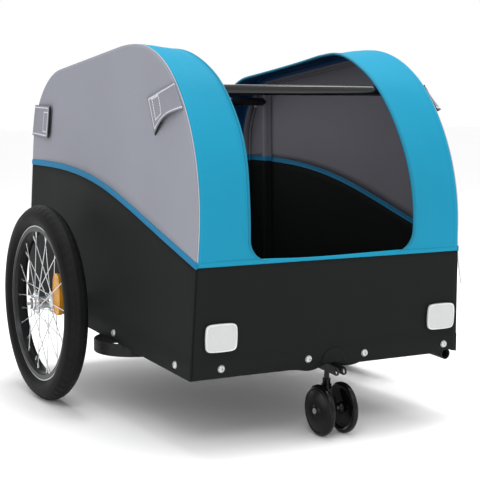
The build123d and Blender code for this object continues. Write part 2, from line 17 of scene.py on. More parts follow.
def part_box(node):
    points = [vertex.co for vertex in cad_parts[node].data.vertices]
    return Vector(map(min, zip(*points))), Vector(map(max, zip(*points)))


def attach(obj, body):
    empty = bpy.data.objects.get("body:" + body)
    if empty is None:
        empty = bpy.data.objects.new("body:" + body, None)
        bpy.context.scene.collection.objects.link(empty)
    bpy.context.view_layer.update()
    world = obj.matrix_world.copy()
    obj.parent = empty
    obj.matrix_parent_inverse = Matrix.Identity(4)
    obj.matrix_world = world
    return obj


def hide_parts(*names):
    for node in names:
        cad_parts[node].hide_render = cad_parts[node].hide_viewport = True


bl_info = {
    "name": "Child bicycle trailer",
    "version": (1, 0, 0),
    "blender": (4, 5, 0),
    "location": "View3D > Sidebar > Trailer",
    "description": "Sewn tub, wheels, caster and fittings of a child bicycle trailer",
    "category": "Add Mesh",
}

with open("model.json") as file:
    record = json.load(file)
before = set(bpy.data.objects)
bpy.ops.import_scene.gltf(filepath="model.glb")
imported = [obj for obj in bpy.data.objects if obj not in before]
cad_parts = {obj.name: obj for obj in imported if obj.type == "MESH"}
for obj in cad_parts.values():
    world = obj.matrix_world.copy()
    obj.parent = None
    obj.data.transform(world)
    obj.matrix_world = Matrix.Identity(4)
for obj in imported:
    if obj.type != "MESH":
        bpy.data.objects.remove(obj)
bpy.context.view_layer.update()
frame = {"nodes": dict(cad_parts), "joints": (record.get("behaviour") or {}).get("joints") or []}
JOINTS = {joint["name"]: joint for joint in frame["joints"]}
AXLE = Vector(JOINTS["wheel_spin_left"]["pos_m"])
UP = Vector(JOINTS["caster_swivel"]["axis"])
LEAN = atan2(-UP.y, UP.z)
SIDES = {"right": -1, "left": 1}


# ---------------------------------------------------------------- sizes and colours
def size(name, default, description):
    """A length that a user may change."""
    return FloatProperty(name=name, description=description, default=default, unit="LENGTH", min=0)


def turn(name, default, description):
    """An angle that a user may change."""
    return FloatProperty(
        name=name, description=description, default=radians(default), unit="ROTATION"
    )


def colour(name, default, description):
    """A colour that a user may change."""
    return FloatVectorProperty(
        name=name, description=description, default=default, subtype="COLOR", size=3, min=0, max=1
    )


class TubSizes(bpy.types.PropertyGroup):
    """Sizes of the sewn tub."""

    length: size("Length", 0.829, "Front panel to rear panel")
    width: size("Width", 0.578, "Across the bottom hem")
    taper: turn("Taper", 2.05, "Inward lean of each side wall")
    axle_back: size("Axle back", 0.527, "Wheel axle behind the front panel")
    skirt: size("Skirt", 0.155, "Height of the bottom hem")
    sill: size("Sill", 0.353, "Height of the front and rear panels")
    spring: size("Spring height", 0.400, "Where the front edge starts to curve back")
    rise_radius: size("Rise radius", 0.355, "Radius of the front edge")
    brow_radius: size("Brow radius", 0.263, "Radius above the front edge")
    rise_turn: turn("Rise turn", 45.0, "Turn of the front edge")
    crest_radius: size("Crest radius", 0.534, "Radius of the roof's crest")
    roof_slope: turn("Roof slope", 9.2, "Fall of the roof towards the back")
    corner_radius: size("Corner radius", 0.175, "Radius of the rear corner")
    seam_roll: size("Seam roll", 0.0024, "Radius of the rolled edge of the side walls")
    cloth: size("Cloth", 0.002, "Thickness of the doubled cloth")
    sill_opening: size("Sill opening", 0.146, "Half width of the opening at the sill")
    corner_rise: size("Corner rise", 0.038, "Height of the opening's round lower corners")
    corner_reach: size("Corner reach", 0.036, "Width of the opening's round lower corners")
    binding: size("Binding", 0.0085, "Height of the tape along the sill")
    hem: size("Hem", 0.036, "Depth of the bottom hem")
    roof_sag: size("Roof sag", 0.010, "Droop of the roof strips' free edges")


class WheelSizes(bpy.types.PropertyGroup):
    """Sizes of the wheels."""

    tyre_radius: size("Tyre radius", 0.200, "Outer radius of the tyre")
    tyre_section: size("Tyre section", 0.0232, "Radius of the tyre's section")
    rim_bed: size("Rim bed", 0.146, "Radius of the rim's inner face")
    spoke_turn: turn("Spoke turn", 52.0, "Angle that a spoke runs round the hub")
    tread_depth: size("Tread depth", 0.0012, "Depth of the tread")


class TrimSizes(bpy.types.PropertyGroup):
    """Sizes of the trim."""

    screw_radius: size("Screw radius", 0.0065, "Radius of a screw's head")
    screw_height: size("Screw height", 0.0038, "Height of a screw's head")
    loop_width: size("Loop width", 0.025, "Width of the stow loop's band")
    tab_lift: size("Tab lift", 0.009, "How far a tab stands off the wall")


class TrailerColours(bpy.types.PropertyGroup):
    """Colours of the cloth and the hard parts."""

    blue: colour("Blue", (0.012, 0.245, 0.390), "Bands")
    tape: colour("Tape", (0.012, 0.170, 0.330), "Piping and bindings")
    # Painted shade: the bands' blue as it looks in shade on their inside.
    navy: colour("Navy", (0.003, 0.050, 0.150), "Inside of the bands")
    grey: colour("Grey", (0.262, 0.268, 0.308), "Side walls")
    # Painted shade: a darker copy of the grey for the walls' inside, where shade falls.
    lining: colour("Lining", (0.165, 0.163, 0.188), "Inside of the side walls")
    thread: colour("Thread", (0.36, 0.37, 0.41), "Stitches along the side walls")
    stitches: colour("Stitches", (0.82, 0.82, 0.87), "Stitches on the tabs")
    black: colour("Black", (0.0110, 0.0125, 0.0118), "Lower walls")
    amber: colour("Amber", (0.72, 0.34, 0.01), "Spoke reflectors")


def sizes():
    """The sizes and colours set on the scene."""
    return bpy.context.scene.trailer


class TrailerSettings(bpy.types.PropertyGroup):
    """All settings of the trailer."""

    tub: PointerProperty(type=TubSizes)
    wheel: PointerProperty(type=WheelSizes)
    trim: PointerProperty(type=TrimSizes)
    colours: PointerProperty(type=TrailerColours)


# ---------------------------------------------------------------- shader kit
class Wire:
    """A socket that takes part in sums."""

    def __init__(self, finish, socket):
        self.finish, self.socket = finish, socket

    def maths(self, operation, *values):
        """One Math node on these values."""
        node = self.finish.node("ShaderNodeMath", {"operation": operation}, dict(enumerate(values)))
        return node["Value"]

    def __add__(self, other):
        return self.maths("ADD", self, other)

    def __radd__(self, other):
        return self.maths("ADD", other, self)

    def __sub__(self, other):
        return self.maths("SUBTRACT", self, other)

    def __rsub__(self, other):
        return self.maths("SUBTRACT", other, self)

    def __mul__(self, other):
        return self.maths("MULTIPLY", self, other)

    def __rmul__(self, other):
        return self.maths("MULTIPLY", other, self)

    def __truediv__(self, other):
        return self.maths("DIVIDE", self, other)

    def __mod__(self, other):
        return self.maths("FLOORED_MODULO", self, other)

    def __lt__(self, other):
        return self.maths("LESS_THAN", self, other)

    def __gt__(self, other):
        return self.maths("GREATER_THAN", self, other)

    def __abs__(self):
        return self.maths("ABSOLUTE", self)

    def sine(self):
        """Sine of the value."""
        return self.maths("SINE", self)

    def root(self):
        """Square root of the value."""
        return self.maths("SQRT", self)

    def larger(self, other):
        """The larger of two values."""
        return self.maths("MAXIMUM", self, other)


class Finish:
    """A material with one Principled shader, and the one way to add a node to it."""

    def __init__(self, name, **fixed):
        self.material = bpy.data.materials.new(name)
        self.material.use_nodes = True
        self.tree = self.material.node_tree
        self.tree.nodes.clear()
        self.shader = self.tree.nodes.new("ShaderNodeBsdfPrincipled")
        for key, value in fixed.items():
            self.shader.inputs[key.replace("_", " ")].default_value = value
        surface = Wire(self, self.shader.outputs["BSDF"])
        self.node("ShaderNodeOutputMaterial", {}, {"Surface": surface})

    def node(self, kind, settings, sockets):
        """Adds a node: its settings first, then the values or links of its sockets."""
        node = self.tree.nodes.new(kind)
        for key, value in settings.items():
            setattr(node, key, value)
        for key, value in sockets.items():
            if isinstance(key, int):
                socket = node.inputs[key]
            else:
                socket = next(s for s in node.inputs if s.enabled and s.name == key)
            if isinstance(value, Wire):
                self.tree.links.new(value.socket, socket)
            else:
                socket.default_value = value
        return {s.name: Wire(self, s) for s in node.outputs if s.enabled}

    def set(self, **wires):
        """Links wires to the shader's own sockets."""
        for key, wire in wires.items():
            self.tree.links.new(wire.socket, self.shader.inputs[key.replace("_", " ")])

    def place(self):
        """Object coordinates."""
        return self.node("ShaderNodeTexCoord", {}, {})["Object"]

    def parts(self, vector):
        """The three numbers of a vector."""
        split = self.node("ShaderNodeSeparateXYZ", {}, {"Vector": vector})
        return split["X"], split["Y"], split["Z"]

    def from_axle(self, place):
        """Distance from the axle of the wheels."""
        _, back, up = self.parts(place)
        back, up = back - AXLE.y, up - AXLE.z
        return (back * back + up * up).root()

    def noise(self, vector, scale, detail=2.0, roughness=0.5):
        """Noise around one half."""
        values = {"Vector": vector, "Scale": scale, "Detail": detail, "Roughness": roughness}
        return self.node("ShaderNodeTexNoise", {}, values)["Fac"]

    def mix(self, amount, first, second):
        """Colour between two colours."""
        values = {"Factor": amount, "A": first, "B": second}
        settings = {"data_type": "RGBA", "clamp_factor": True}
        return self.node("ShaderNodeMix", settings, values)["Result"]

    def spread(self, wire, low, high, to_low, to_high):
        """Maps a range onto another, clamped."""
        names = ("Value", "From Min", "From Max", "To Min", "To Max")
        values = dict(zip(names, (wire, low, high, to_low, to_high)))
        return self.node("ShaderNodeMapRange", {}, values)["Result"]

    def bump(self, height, strength, distance):
        """Normal of a height in metres."""
        values = {"Height": height, "Strength": strength, "Distance": distance}
        return self.node("ShaderNodeBump", {}, values)["Normal"]


def rgba(shade, factor=1.0):
    """A colour with its alpha, made lighter or darker."""
    return (*(min(1.0, part * factor) for part in shade), 1.0)


def attribute(finish, name):
    """One of a piece's own numbers."""
    return finish.node("ShaderNodeAttribute", {"attribute_name": name}, {})["Fac"]


def cloth(name, shade, rough=0.62, thread=None, boxes=(), weave=0.0016, worn=0.04, wide=0.0006,
          gloss=0.18):
    """Coated plain weave. A row of stitches runs beside each sewn edge, and along boxes."""
    finish = Finish(name, Specular_IOR_Level=gloss, IOR=1.45)
    flat = finish.node("ShaderNodeUVMap", {"uv_map": "cut"}, {})["UV"]
    across, along, _ = finish.parts(flat)
    place = finish.place()
    threads = (across * (2 * pi / weave)).sine() * (along * (2 * pi / weave)).sine()
    cloud = finish.noise(place, 5.0, 3.0)
    grain = finish.noise(place, 420.0, 2.0)
    base = finish.mix(
        finish.spread(cloud, 0.3, 0.7, 0.0, 1.0), rgba(shade, 1 - worn), rgba(shade, 1 + worn)
    )
    base = finish.mix(
        finish.spread(threads + grain, -0.6, 1.6, 0.0, 0.16), base, rgba(shade, 0.72)
    )
    edge, run = attribute(finish, "edge"), attribute(finish, "run")
    # Painted shade: the cloth is darker in the last millimetre beside a seam.
    crease = finish.spread(abs(edge), 0.0, 0.0025, 0.55, 0.0)
    base = finish.mix(crease, base, rgba(shade, 0.45))
    row = abs(edge - 0.005) < wide
    dash = (run / 0.0042) % 1.0 < 0.64
    stitch = row * dash
    for middle_u, middle_v, half_u, half_v in boxes:
        side_u = abs(across - middle_u) - half_u
        side_v = abs(along - middle_v) - half_v
        ring = abs(side_u.larger(side_v)) < wide
        beat = ((across + along) / 0.0052) % 1.0 < 0.62
        stitch = stitch.larger(ring * beat)
    light = rgba(thread) if thread else rgba(shade, 1.22)
    base = finish.mix(stitch * 0.92, base, light)
    finish.set(Base_Color=base)
    height = threads * 0.25 + grain * 0.35 + finish.noise(place, 60.0, 2.0) * 0.8 + stitch * 1.5
    finish.set(Normal=finish.bump(height, 0.30, 0.0006))
    finish.set(Roughness=finish.spread(cloud + grain * 0.3, 0.3, 1.0, rough - 0.06, rough + 0.08))
    return finish.material


def paint(name, shade, rough, coat=0.0, grain=260.0, depth=0.0002, gloss=0.25):
    """Sprayed or moulded surface with a fine skin and a little wear."""
    finish = Finish(name, Coat_Roughness=0.12, Coat_Weight=coat, Specular_IOR_Level=gloss)
    place = finish.place()
    skin = finish.noise(place, grain, 2.0)
    cloud = finish.noise(place, 22.0, 3.0)
    finish.set(
        Base_Color=finish.mix(
            finish.spread(cloud, 0.35, 0.75, 0.0, 1.0), rgba(shade, 0.88), rgba(shade, 1.18)
        )
    )
    finish.set(Roughness=finish.spread(cloud, 0.3, 0.8, rough - 0.05, rough + 0.10))
    finish.set(Normal=finish.bump(skin, 0.25, depth))
    return finish.material


def metal(name, shade, rough, streak=(1.0, 1.0, 1.0)):
    """Bright metal with drawn or turned lines along one way."""
    finish = Finish(name, Metallic=1.0)
    stretched = finish.node(
        "ShaderNodeMapping", {"vector_type": "POINT"}, {"Vector": finish.place(), "Scale": streak}
    )["Vector"]
    lines = finish.noise(stretched, 900.0, 2.0)
    cloud = finish.noise(finish.place(), 90.0, 2.0)
    finish.set(
        Base_Color=finish.mix(
            finish.spread(cloud + lines * 0.4, 0.4, 1.0, 0.0, 1.0), rgba(shade, 0.82), rgba(shade)
        )
    )
    finish.set(Roughness=finish.spread(lines, 0.3, 0.7, rough, rough + 0.14))
    finish.set(Normal=finish.bump(lines, 0.12, 0.0002))
    return finish.material


def rim_paint(name):
    """Black rim with a bare turned edge."""
    finish = Finish(name, Coat_Weight=0.10, Coat_Roughness=0.2, Specular_IOR_Level=0.25)
    place = finish.place()
    radius = finish.from_axle(place)
    bare = finish.spread(radius, 0.1562, 0.1570, 0.0, 1.0)
    cloud = finish.noise(place, 40.0, 3.0)
    dark = finish.mix(cloud, rgba((0.007, 0.007, 0.008)), rgba((0.016, 0.016, 0.017)))
    finish.set(Base_Color=finish.mix(bare, dark, rgba((0.46, 0.47, 0.48))))
    finish.set(Metallic=bare * 0.85)
    turned = (radius * 9000.0).sine()
    finish.set(Roughness=finish.spread(turned + cloud, -1.0, 2.0, 0.30, 0.42))
    finish.set(Normal=finish.bump(turned * bare, 0.2, 0.0001))
    return finish.material


def rubber(name):
    """Moulded tyre rubber with fine rings on the walls."""
    finish = Finish(name, Specular_IOR_Level=0.07)
    place = finish.place()
    radius = finish.from_axle(place)
    ring = (radius * 2600.0).sine()
    grain = finish.noise(place, 300.0, 3.0)
    dust = finish.noise(place, 14.0, 4.0)
    tread = finish.spread(radius, 0.190, 0.199, 0.0, 1.0)
    base = finish.mix(
        finish.spread(dust, 0.35, 0.75, 0.0, 1.0),
        rgba((0.005, 0.005, 0.0053)),
        rgba((0.010, 0.010, 0.0103)),
    )
    finish.set(Base_Color=finish.mix(tread * 0.45, base, rgba((0.016, 0.016, 0.016))))
    finish.set(Roughness=finish.spread(dust + grain * 0.4, 0.4, 1.0, 0.46, 0.64))
    finish.set(Normal=finish.bump(ring * 0.3 + grain, 0.35, 0.0005))
    return finish.material


def lens(name, shade, deep, ribs, rough=0.16):
    """Moulded reflector with rows of small prisms."""
    finish = Finish(name, Coat_Weight=0.3, Coat_Roughness=0.06, Specular_IOR_Level=0.3)
    place = finish.place()
    x, y, z = finish.parts(place)
    prism = ((x + y) * ribs).sine() * (z * ribs).sine()
    cloud = finish.noise(place, 55.0, 2.0)
    base = finish.mix(finish.spread(prism + cloud, -0.6, 1.6, 0.0, 1.0), rgba(deep), rgba(shade))
    finish.set(Base_Color=base)
    finish.set(Roughness=finish.spread(cloud, 0.3, 0.7, rough, rough + 0.1))
    finish.set(Normal=finish.bump(prism, 0.4, 0.0006))
    return finish.material


def ground(name):
    """Plain pale floor."""
    finish = Finish(name)
    cloud = finish.noise(finish.place(), 1.2, 2.0)
    finish.set(Base_Color=finish.mix(cloud, rgba((0.95, 0.95, 0.95)), rgba((0.98, 0.98, 0.98))))
    finish.set(Roughness=finish.spread(cloud, 0.3, 0.7, 0.7, 0.8))
    return finish.material


FINISHES = {}


def make_finishes():
    """All materials, by name."""
    hue = sizes().colours
    black = tuple(hue.black)
    FINISHES.update(
        blue_cloth=cloth("blue_cloth", hue.blue, 0.62, gloss=0.08),
        # Painted shade: the inside of the bands, darker than their outside blue.
        navy_lining=cloth("navy_lining", hue.navy, 0.7),
        blue_edge=cloth("blue_edge", tuple(part * 0.80 for part in hue.blue), 0.62),
        tape=cloth("blue_tape", hue.tape, 0.62),
        grey_cloth=cloth("grey_cloth", hue.grey, 0.66, thread=hue.thread),
        # Painted shade: the walls' inside, darker than their outside grey.
        grey_lining=cloth("grey_lining", hue.lining, 0.75),
        black_cloth=cloth("black_cloth", black, 0.55, gloss=0.06),
        # Painted shade: a darker copy of the black for the inside faces.
        black_lining=cloth("black_lining", tuple(part * 0.65 for part in black), 0.75, gloss=0.06),
        # Painted highlight: the seam cord's pale grey stands in for light along the rolled edge.
        seam=cloth("seam_edge", (0.47, 0.47, 0.52), 0.6),
        # Black hook strip; where it shows past a tab it is also painted shadow.
        dark_seam=cloth("dark_seam", (0.010, 0.011, 0.011), 0.6),
        front_tab=cloth(
            "front_tab_cloth", tuple(part * 0.90 for part in hue.grey), 0.66, wide=0.0012,
            thread=hue.stitches, boxes=((0.0800, 0.035, 0.0130, 0.019),),
        ),
        rear_tab=cloth(
            "rear_tab_cloth", tuple(part * 0.90 for part in hue.grey), 0.66, wide=0.0012,
            thread=hue.stitches, boxes=((0.0780, 0.034, 0.0140, 0.021),),
        ),
        label=cloth("label_cloth", (0.86, 0.86, 0.87), 0.6, thread=(0.80, 0.80, 0.81)),
        frame_paint=paint("frame_paint", (0.012, 0.012, 0.013), 0.40),
        bar_paint=paint("bar_paint", (0.006, 0.006, 0.007), 0.10, grain=160.0, gloss=0.42),
        screw=metal("zinc_screw", (0.62, 0.63, 0.62), 0.26),
        spoke=metal("spoke_wire", (0.78, 0.79, 0.81), 0.22),
        hub=metal("polished_hub", (0.78, 0.80, 0.82), 0.20, streak=(0.2, 1.0, 1.0)),
        rim=rim_paint("rim_black"),
        tyre=rubber("tyre_rubber"),
        caster=paint("caster_plastic", (0.003, 0.003, 0.003), 0.16, grain=120.0, gloss=0.20),
        yoke=paint("yoke_plastic", (0.004, 0.004, 0.004), 0.30, grain=200.0, gloss=0.18),
        strap=paint("ribbed_strap", (0.012, 0.012, 0.012), 0.48, grain=340.0, depth=0.0005),
        button=paint("button_plastic", (0.30, 0.30, 0.31), 0.45),
        valve=paint("valve_rubber", (0.016, 0.016, 0.016), 0.5),
        clear_lens=lens("clear_lens", (0.58, 0.59, 0.58), (0.47, 0.49, 0.48), 1900.0),
        clear_rim=paint("clear_lens_rim", (0.66, 0.67, 0.66), 0.16, coat=0.3),
        red_lens=lens("red_lens", (0.62, 0.012, 0.010), (0.34, 0.004, 0.004), 1900.0),
        red_rim=paint("red_lens_rim", (0.55, 0.010, 0.010), 0.16, coat=0.8),
        amber_lens=lens("amber_lens", hue.amber, (0.44, 0.18, 0.004), 1100.0),
        amber_rim=paint("amber_lens_rim", (0.58, 0.25, 0.006), 0.18, coat=0.3),
        backing=paint("lens_backing", (0.008, 0.008, 0.008), 0.5),
        floor_cloth=cloth("floor_cloth", tuple(part * 0.8 for part in black), 0.7),
    )


# ---------------------------------------------------------------- tub geometry
def body():
    """From the tub's own axes to the leaning tub."""
    back = sizes().tub.axle_back
    return (
        Matrix.Translation((0, AXLE.y, AXLE.z))
        @ Matrix.Rotation(LEAN, 4, "X")
        @ Matrix.Translation((0, -back, -AXLE.z))
    )


def half_at(height):
    """Outer half width of the tub at a height."""
    tub = sizes().tub
    return tub.width / 2 - (height - tub.skirt) * tan(tub.taper)


def flank(k, back, height, out):
    """A point on a side wall, out from its face. k is -1 for right, +1 for left."""
    tub = sizes().tub
    foot = tub.width / 2 + tub.skirt * tan(tub.taper)
    lean, stand = sin(tub.taper), cos(tub.taper)
    return Vector((k * (foot - lean * height + stand * out), back, stand * height + lean * out))


PIPING_LIFT = 0.0110  # lower edge of the grey wall above the colour line
RAIL_LEVEL = 0.172  # where the hem's screws enter the rails
WAVE_SHARES = (0.0, 0.15, 0.3, 0.5, 0.75, 1.0)
WAVE_HEIGHTS = (0.351, 0.380, 0.410, 0.445, 0.462, 0.456)
# Half width of the opening at lengths along each band, from the sill up and over.
EDGE_LENGTHS = (0.0, 0.12, 0.20, 0.30, 0.40, 0.60, 0.92, 1.36)
EDGE_WIDTHS = {
    -1: (0.1765, 0.1768, 0.1725, 0.1755, 0.1835, 0.195, 0.196, 0.178),
    1: (0.1735, 0.1720, 0.1665, 0.1580, 0.1520, 0.176, 0.190, 0.178),
}


def smooth_line(knots, heights, place):
    """Height at a place of the natural cubic line through points."""
    knots, heights = np.array(knots), np.array(heights)
    gaps, count = np.diff(knots), len(knots)
    matrix, right = np.eye(count), np.zeros(count)
    for i in range(1, count - 1):
        matrix[i, i - 1 : i + 2] = gaps[i - 1], 2 * (gaps[i - 1] + gaps[i]), gaps[i]
        steps = np.diff(heights[i - 1 : i + 2]) / gaps[i - 1 : i + 1]
        right[i] = 6 * (steps[1] - steps[0])
    bends = np.linalg.solve(matrix, right)
    i = int(np.clip(np.searchsorted(knots, place) - 1, 0, count - 2))
    a, b = (knots[i + 1] - place) / gaps[i], (place - knots[i]) / gaps[i]
    return float(
        a * heights[i]
        + b * heights[i + 1]
        + ((a**3 - a) * bends[i] + (b**3 - b) * bends[i + 1]) * gaps[i] ** 2 / 6
    )


def wave(back):
    """Height of the colour line on the side walls."""
    return smooth_line([share * sizes().tub.length for share in WAVE_SHARES], WAVE_HEIGHTS, back)


class Station:
    """A place on the outline of a side: where it is, which way is out, how far along."""

    def __init__(self, back, height, heading, walked):
        self.back, self.height, self.walked = back, height, walked
        self.out_back, self.out_up = -cos(heading), sin(heading)


def outline(inset, front_foot, rear_foot, fine=0.010):
    """Stations round a side, from the front foot over the roof to the rear foot."""
    tub = sizes().tub
    slope, rise = tub.roof_slope, tub.rise_turn
    run = (
        tub.length
        - (tub.rise_radius * (1 - cos(rise)) + tub.brow_radius * cos(rise))
        - tub.crest_radius * sin(slope)
        - tub.corner_radius * (1 - sin(slope))
    ) / cos(slope)
    legs = [
        (0.0, tub.spring - front_foot),
        (tub.rise_radius - inset, rise),
        (tub.brow_radius - inset, pi / 2 - rise),
        (tub.crest_radius - inset, slope),
        (0.0, run),
        (tub.corner_radius - inset, pi / 2 - slope),
    ]
    back, height, heading, walked = inset, front_foot, 0.0, 0.0
    stations = []
    for radius, amount in [*legs, (0.0, None)]:
        if amount is None:
            amount = height - rear_foot
        reach = radius * amount if radius else amount
        # Short straight feet are drawn finely, for the round corners of the opening.
        count = 22 if reach < 0.06 else round(reach / fine)
        for i in range(count):
            share = i / count
            if radius:
                turned = heading + amount * share
                centre = (back + radius * cos(heading), height - radius * sin(heading))
                place = (centre[0] - radius * cos(turned), centre[1] + radius * sin(turned))
            else:
                turned = heading
                place = (
                    back + sin(heading) * amount * share,
                    height + cos(heading) * amount * share,
                )
            stations.append(Station(*place, turned, walked + reach * share))
        if radius:
            centre = (back + radius * cos(heading), height - radius * sin(heading))
            heading += amount
            back, height = centre[0] - radius * cos(heading), centre[1] + radius * sin(heading)
        else:
            back, height = back + sin(heading) * amount, height + cos(heading) * amount
        walked += reach
    stations.append(Station(back, height, heading, walked))
    return stations


def flat_area(points):
    """Area inside a closed outline drawn flat."""
    pairs = zip(points, points[1:] + points[:1])
    return abs(sum(a[0] * b[1] - b[0] * a[1] for a, b in pairs)) / 2


def ripple(back, height, side):
    """Slow unevenness of stretched cloth, from -1 to 1."""
    return noise.noise(Vector((back * 7.0, height * 7.0, side * 3.1)))


# ---------------------------------------------------------------- making pieces
def face_out(bm, inside):
    """Turns a sheet so that its faces point away from a point."""
    total = sum((f.calc_center_median() - inside).dot(f.normal) * f.calc_area() for f in bm.faces)
    if total < 0:
        bmesh.ops.reverse_faces(bm, faces=bm.faces)


def woven(columns, rows, place, inside=None):
    """A sheet over a grid. place gives a position, the flat cut's two lengths, the distance
    from a sewn edge, and the length along that edge."""
    bm = bmesh.new()
    across, up = len(columns) - 1, len(rows) - 1
    bmesh.ops.create_grid(bm, x_segments=across, y_segments=up, size=1.0)
    cut = bm.loops.layers.uv.new("cut")
    edge, run = bm.verts.layers.float.new("edge"), bm.verts.layers.float.new("run")
    flat = {}
    for v in bm.verts:
        column = columns[round((v.co.x + 1) / 2 * across)]
        row = rows[round((v.co.y + 1) / 2 * up)]
        v.co, flat[v], v[edge], v[run] = place(column, row)
    for f in bm.faces:
        f.smooth = True
        for corner in f.loops:
            corner[cut].uv = flat[corner.vert]
    bmesh.ops.remove_doubles(bm, verts=bm.verts, dist=2e-5)
    bm.normal_update()
    tub = sizes().tub
    face_out(bm, inside or Vector((0, tub.length / 2, tub.spring)))
    return bm


def finish_piece(name, bm, materials, rides, nodes=(), leaned=True, crisp=35.0):
    """Makes a finished object of a mesh, at the origin, riding on its body."""
    if leaned:
        bm.transform(body())
    bm.normal_update()
    for f in bm.faces:
        f.smooth = True
    for e in bm.edges:
        e.smooth = len(e.link_faces) != 2 or e.calc_face_angle(0.0) < radians(crisp)
    mesh = bpy.data.meshes.new(name)
    bm.to_mesh(mesh)
    bm.free()
    for material in materials:
        mesh.materials.append(FINISHES[material])
    piece = bpy.data.objects.new(name, mesh)
    bpy.context.scene.collection.objects.link(piece)
    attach(piece, rides)
    if nodes:
        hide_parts(*nodes)
    return piece


def thicken(piece, thickness, lined=False):
    """Gives a sheet its thickness, inward from its outer face. When asked, its inner faces take the
    second material, a darker copy that is painted shade.
    """
    solid = piece.modifiers.new("thickness", "SOLIDIFY")
    solid.thickness, solid.offset = thickness, -1.0
    solid.material_offset = 1 if lined else 0


def spun(profile, steps, closed=True):
    """A ring or disc turned about the x axis from (x, radius) points."""
    bm = bmesh.new()
    verts = [bm.verts.new((x, 0, max(radius, 0.0))) for x, radius in profile]
    pairs = list(zip(verts, verts[1:] + verts[:1])) if closed else list(zip(verts, verts[1:]))
    edges = [bm.edges.new(pair) for pair in pairs]
    bmesh.ops.spin(
        bm, geom=verts + edges, cent=(0, 0, 0), axis=(1, 0, 0), dvec=(0, 0, 0), angle=2 * pi,
        steps=steps, use_merge=True, use_normal_flip=False, use_duplicate=False,
    )
    bmesh.ops.remove_doubles(bm, verts=bm.verts, dist=1e-6)
    bmesh.ops.recalc_face_normals(bm, faces=bm.faces)
    return bm


def placed(bm, matrix):
    """Moves a mesh, and keeps its faces outward if the matrix mirrors."""
    bm.transform(matrix)
    if matrix.determinant() < 0:
        bmesh.ops.reverse_faces(bm, faces=bm.faces)
    return bm


def at_axle(across):
    """Moves a piece from the origin onto the wheels' axle."""
    return Matrix.Translation((across, AXLE.y, AXLE.z))


def soft_box(lengths, rounding):
    """A small block with rounded edges."""
    bm = bmesh.new()
    bmesh.ops.create_cube(bm, size=1.0)
    bmesh.ops.scale(bm, verts=bm.verts, vec=lengths)
    bmesh.ops.bevel(
        bm, geom=bm.edges[:], offset=rounding, segments=2, profile=0.5, affect="EDGES", material=-1
    )
    return bm


def joined(parts):
    """One mesh of several."""
    whole = bmesh.new()
    for part in parts:
        mesh = bpy.data.meshes.new("part")
        part.to_mesh(mesh)
        part.free()
        whole.from_mesh(mesh)
        bpy.data.meshes.remove(mesh)
    return whole


def box_middle(node):
    """Middle of a CAD node."""
    low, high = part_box(node)
    return (low + high) / 2


def spaced(low, high, count):
    """Evenly spaced numbers, ends included."""
    return [low + (high - low) * i / count for i in range(count + 1)]


# ---------------------------------------------------------------- side walls
ROLL_TURNS = (0.25, 0.5, 0.75, 1.0)


def wall_edge():
    """Lengths of the wall's rolled edge, as turns from flat to right round."""
    return [pi / 2 * share for share in ROLL_TURNS]


def make_upper_wall(name, k):
    """Grey upper wall of one side, rolled over all round its top."""
    tub = sizes().tub
    roll, lift = tub.seam_roll, PIPING_LIFT
    stations = outline(roll, wave(roll) + lift, wave(tub.length - roll) + lift, fine=0.012)
    whole = stations[-1].walked
    rows = [("flat", share) for share in spaced(0.0, 1.0, 16)]
    rows[-1:] = [("flat", 0.97), ("flat", 1.0)]
    rows += [("roll", angle) for angle in wall_edge()]

    def place(station, row):
        kind, amount = row
        share = station.walked / whole
        low = roll + (tub.length - 2 * roll) * share
        low = low + (station.back - low) * 0.65
        foot = Vector((low, wave(low) + lift))
        head = Vector((station.back, station.height))
        away = (head - foot).length
        if kind == "flat":
            spot = foot + (head - foot) * amount
            slack = sin(pi * share) * sin(pi * amount) ** 0.8
            out = -0.0010 * slack + 0.0006 * slack * ripple(spot.x, spot.y, k)
            # Creases fan out from the tab at the front crossbar.
            turned = atan2(spot.y - 0.62, spot.x - 0.12)
            near = exp(-((hypot(spot.x - 0.17, spot.y - 0.60) / 0.11) ** 2))
            out += 0.0007 * near * slack * sin(turned * 9.0)
            position = flank(k, spot.x, spot.y, out)
            return position, (spot.x, spot.y), roll * pi / 2 + away * (1 - amount), station.walked
        push = roll * sin(amount)
        spot = (head.x + station.out_back * push, head.y + station.out_up * push)
        position = flank(k, *spot, -roll * (1 - cos(amount)))
        over = roll * (pi / 2 - amount)
        flat = (head.x + station.out_back * roll * amount, head.y + station.out_up * roll * amount)
        return position, flat, over, station.walked

    bm = woven(stations, rows, place)
    piece = finish_piece(
        f"upper_wall_{name}", bm, ["grey_cloth", "grey_lining"], "chassis",
        [f"side_upper_{name}"], crisp=80.0,
    )
    thicken(piece, tub.cloth, lined=True)
    rim = [(s.back, s.height) for s in outline(0.0, wave(0) + lift, wave(tub.length) + lift)]
    rim += [(back, wave(back) + lift) for back in spaced(tub.length, 0.0, 40)[1:-1]]
    high = max(height for _, height in rim) - WAVE_HEIGHTS[0]
    flat_area(rim)


def turned_columns(start, end, count):
    """Columns along a wall from its front roll to its rear roll: (place back, turn, end)."""
    front = [(start, angle, -1) for angle in reversed(wall_edge())]
    rear = [(end, angle, 1) for angle in wall_edge()]
    return front + [(back, 0.0, 0) for back in spaced(start, end, count)] + rear


def hemmed_rows(first):
    """Rows of a wall from its bottom edge: the folded hem, then shares of its height."""
    hem = sizes().tub.hem
    rows = [(0.0, 0.0), (0.0, 0.0012), (0.0, hem - 0.0015), (0.0, hem + 0.0005)]
    return rows + [(share, 0.0) for share in spaced(first, 1.0, 14)]


def rolled(k, column, height, out=0.0):
    """A point on a side wall whose ends roll round the tub's corners."""
    roll = sizes().tub.seam_roll
    back, angle, end = column
    radius = roll + out
    if end:
        return flank(k, back + end * radius * sin(angle), height, -roll + radius * cos(angle))
    return flank(k, back, height, out)


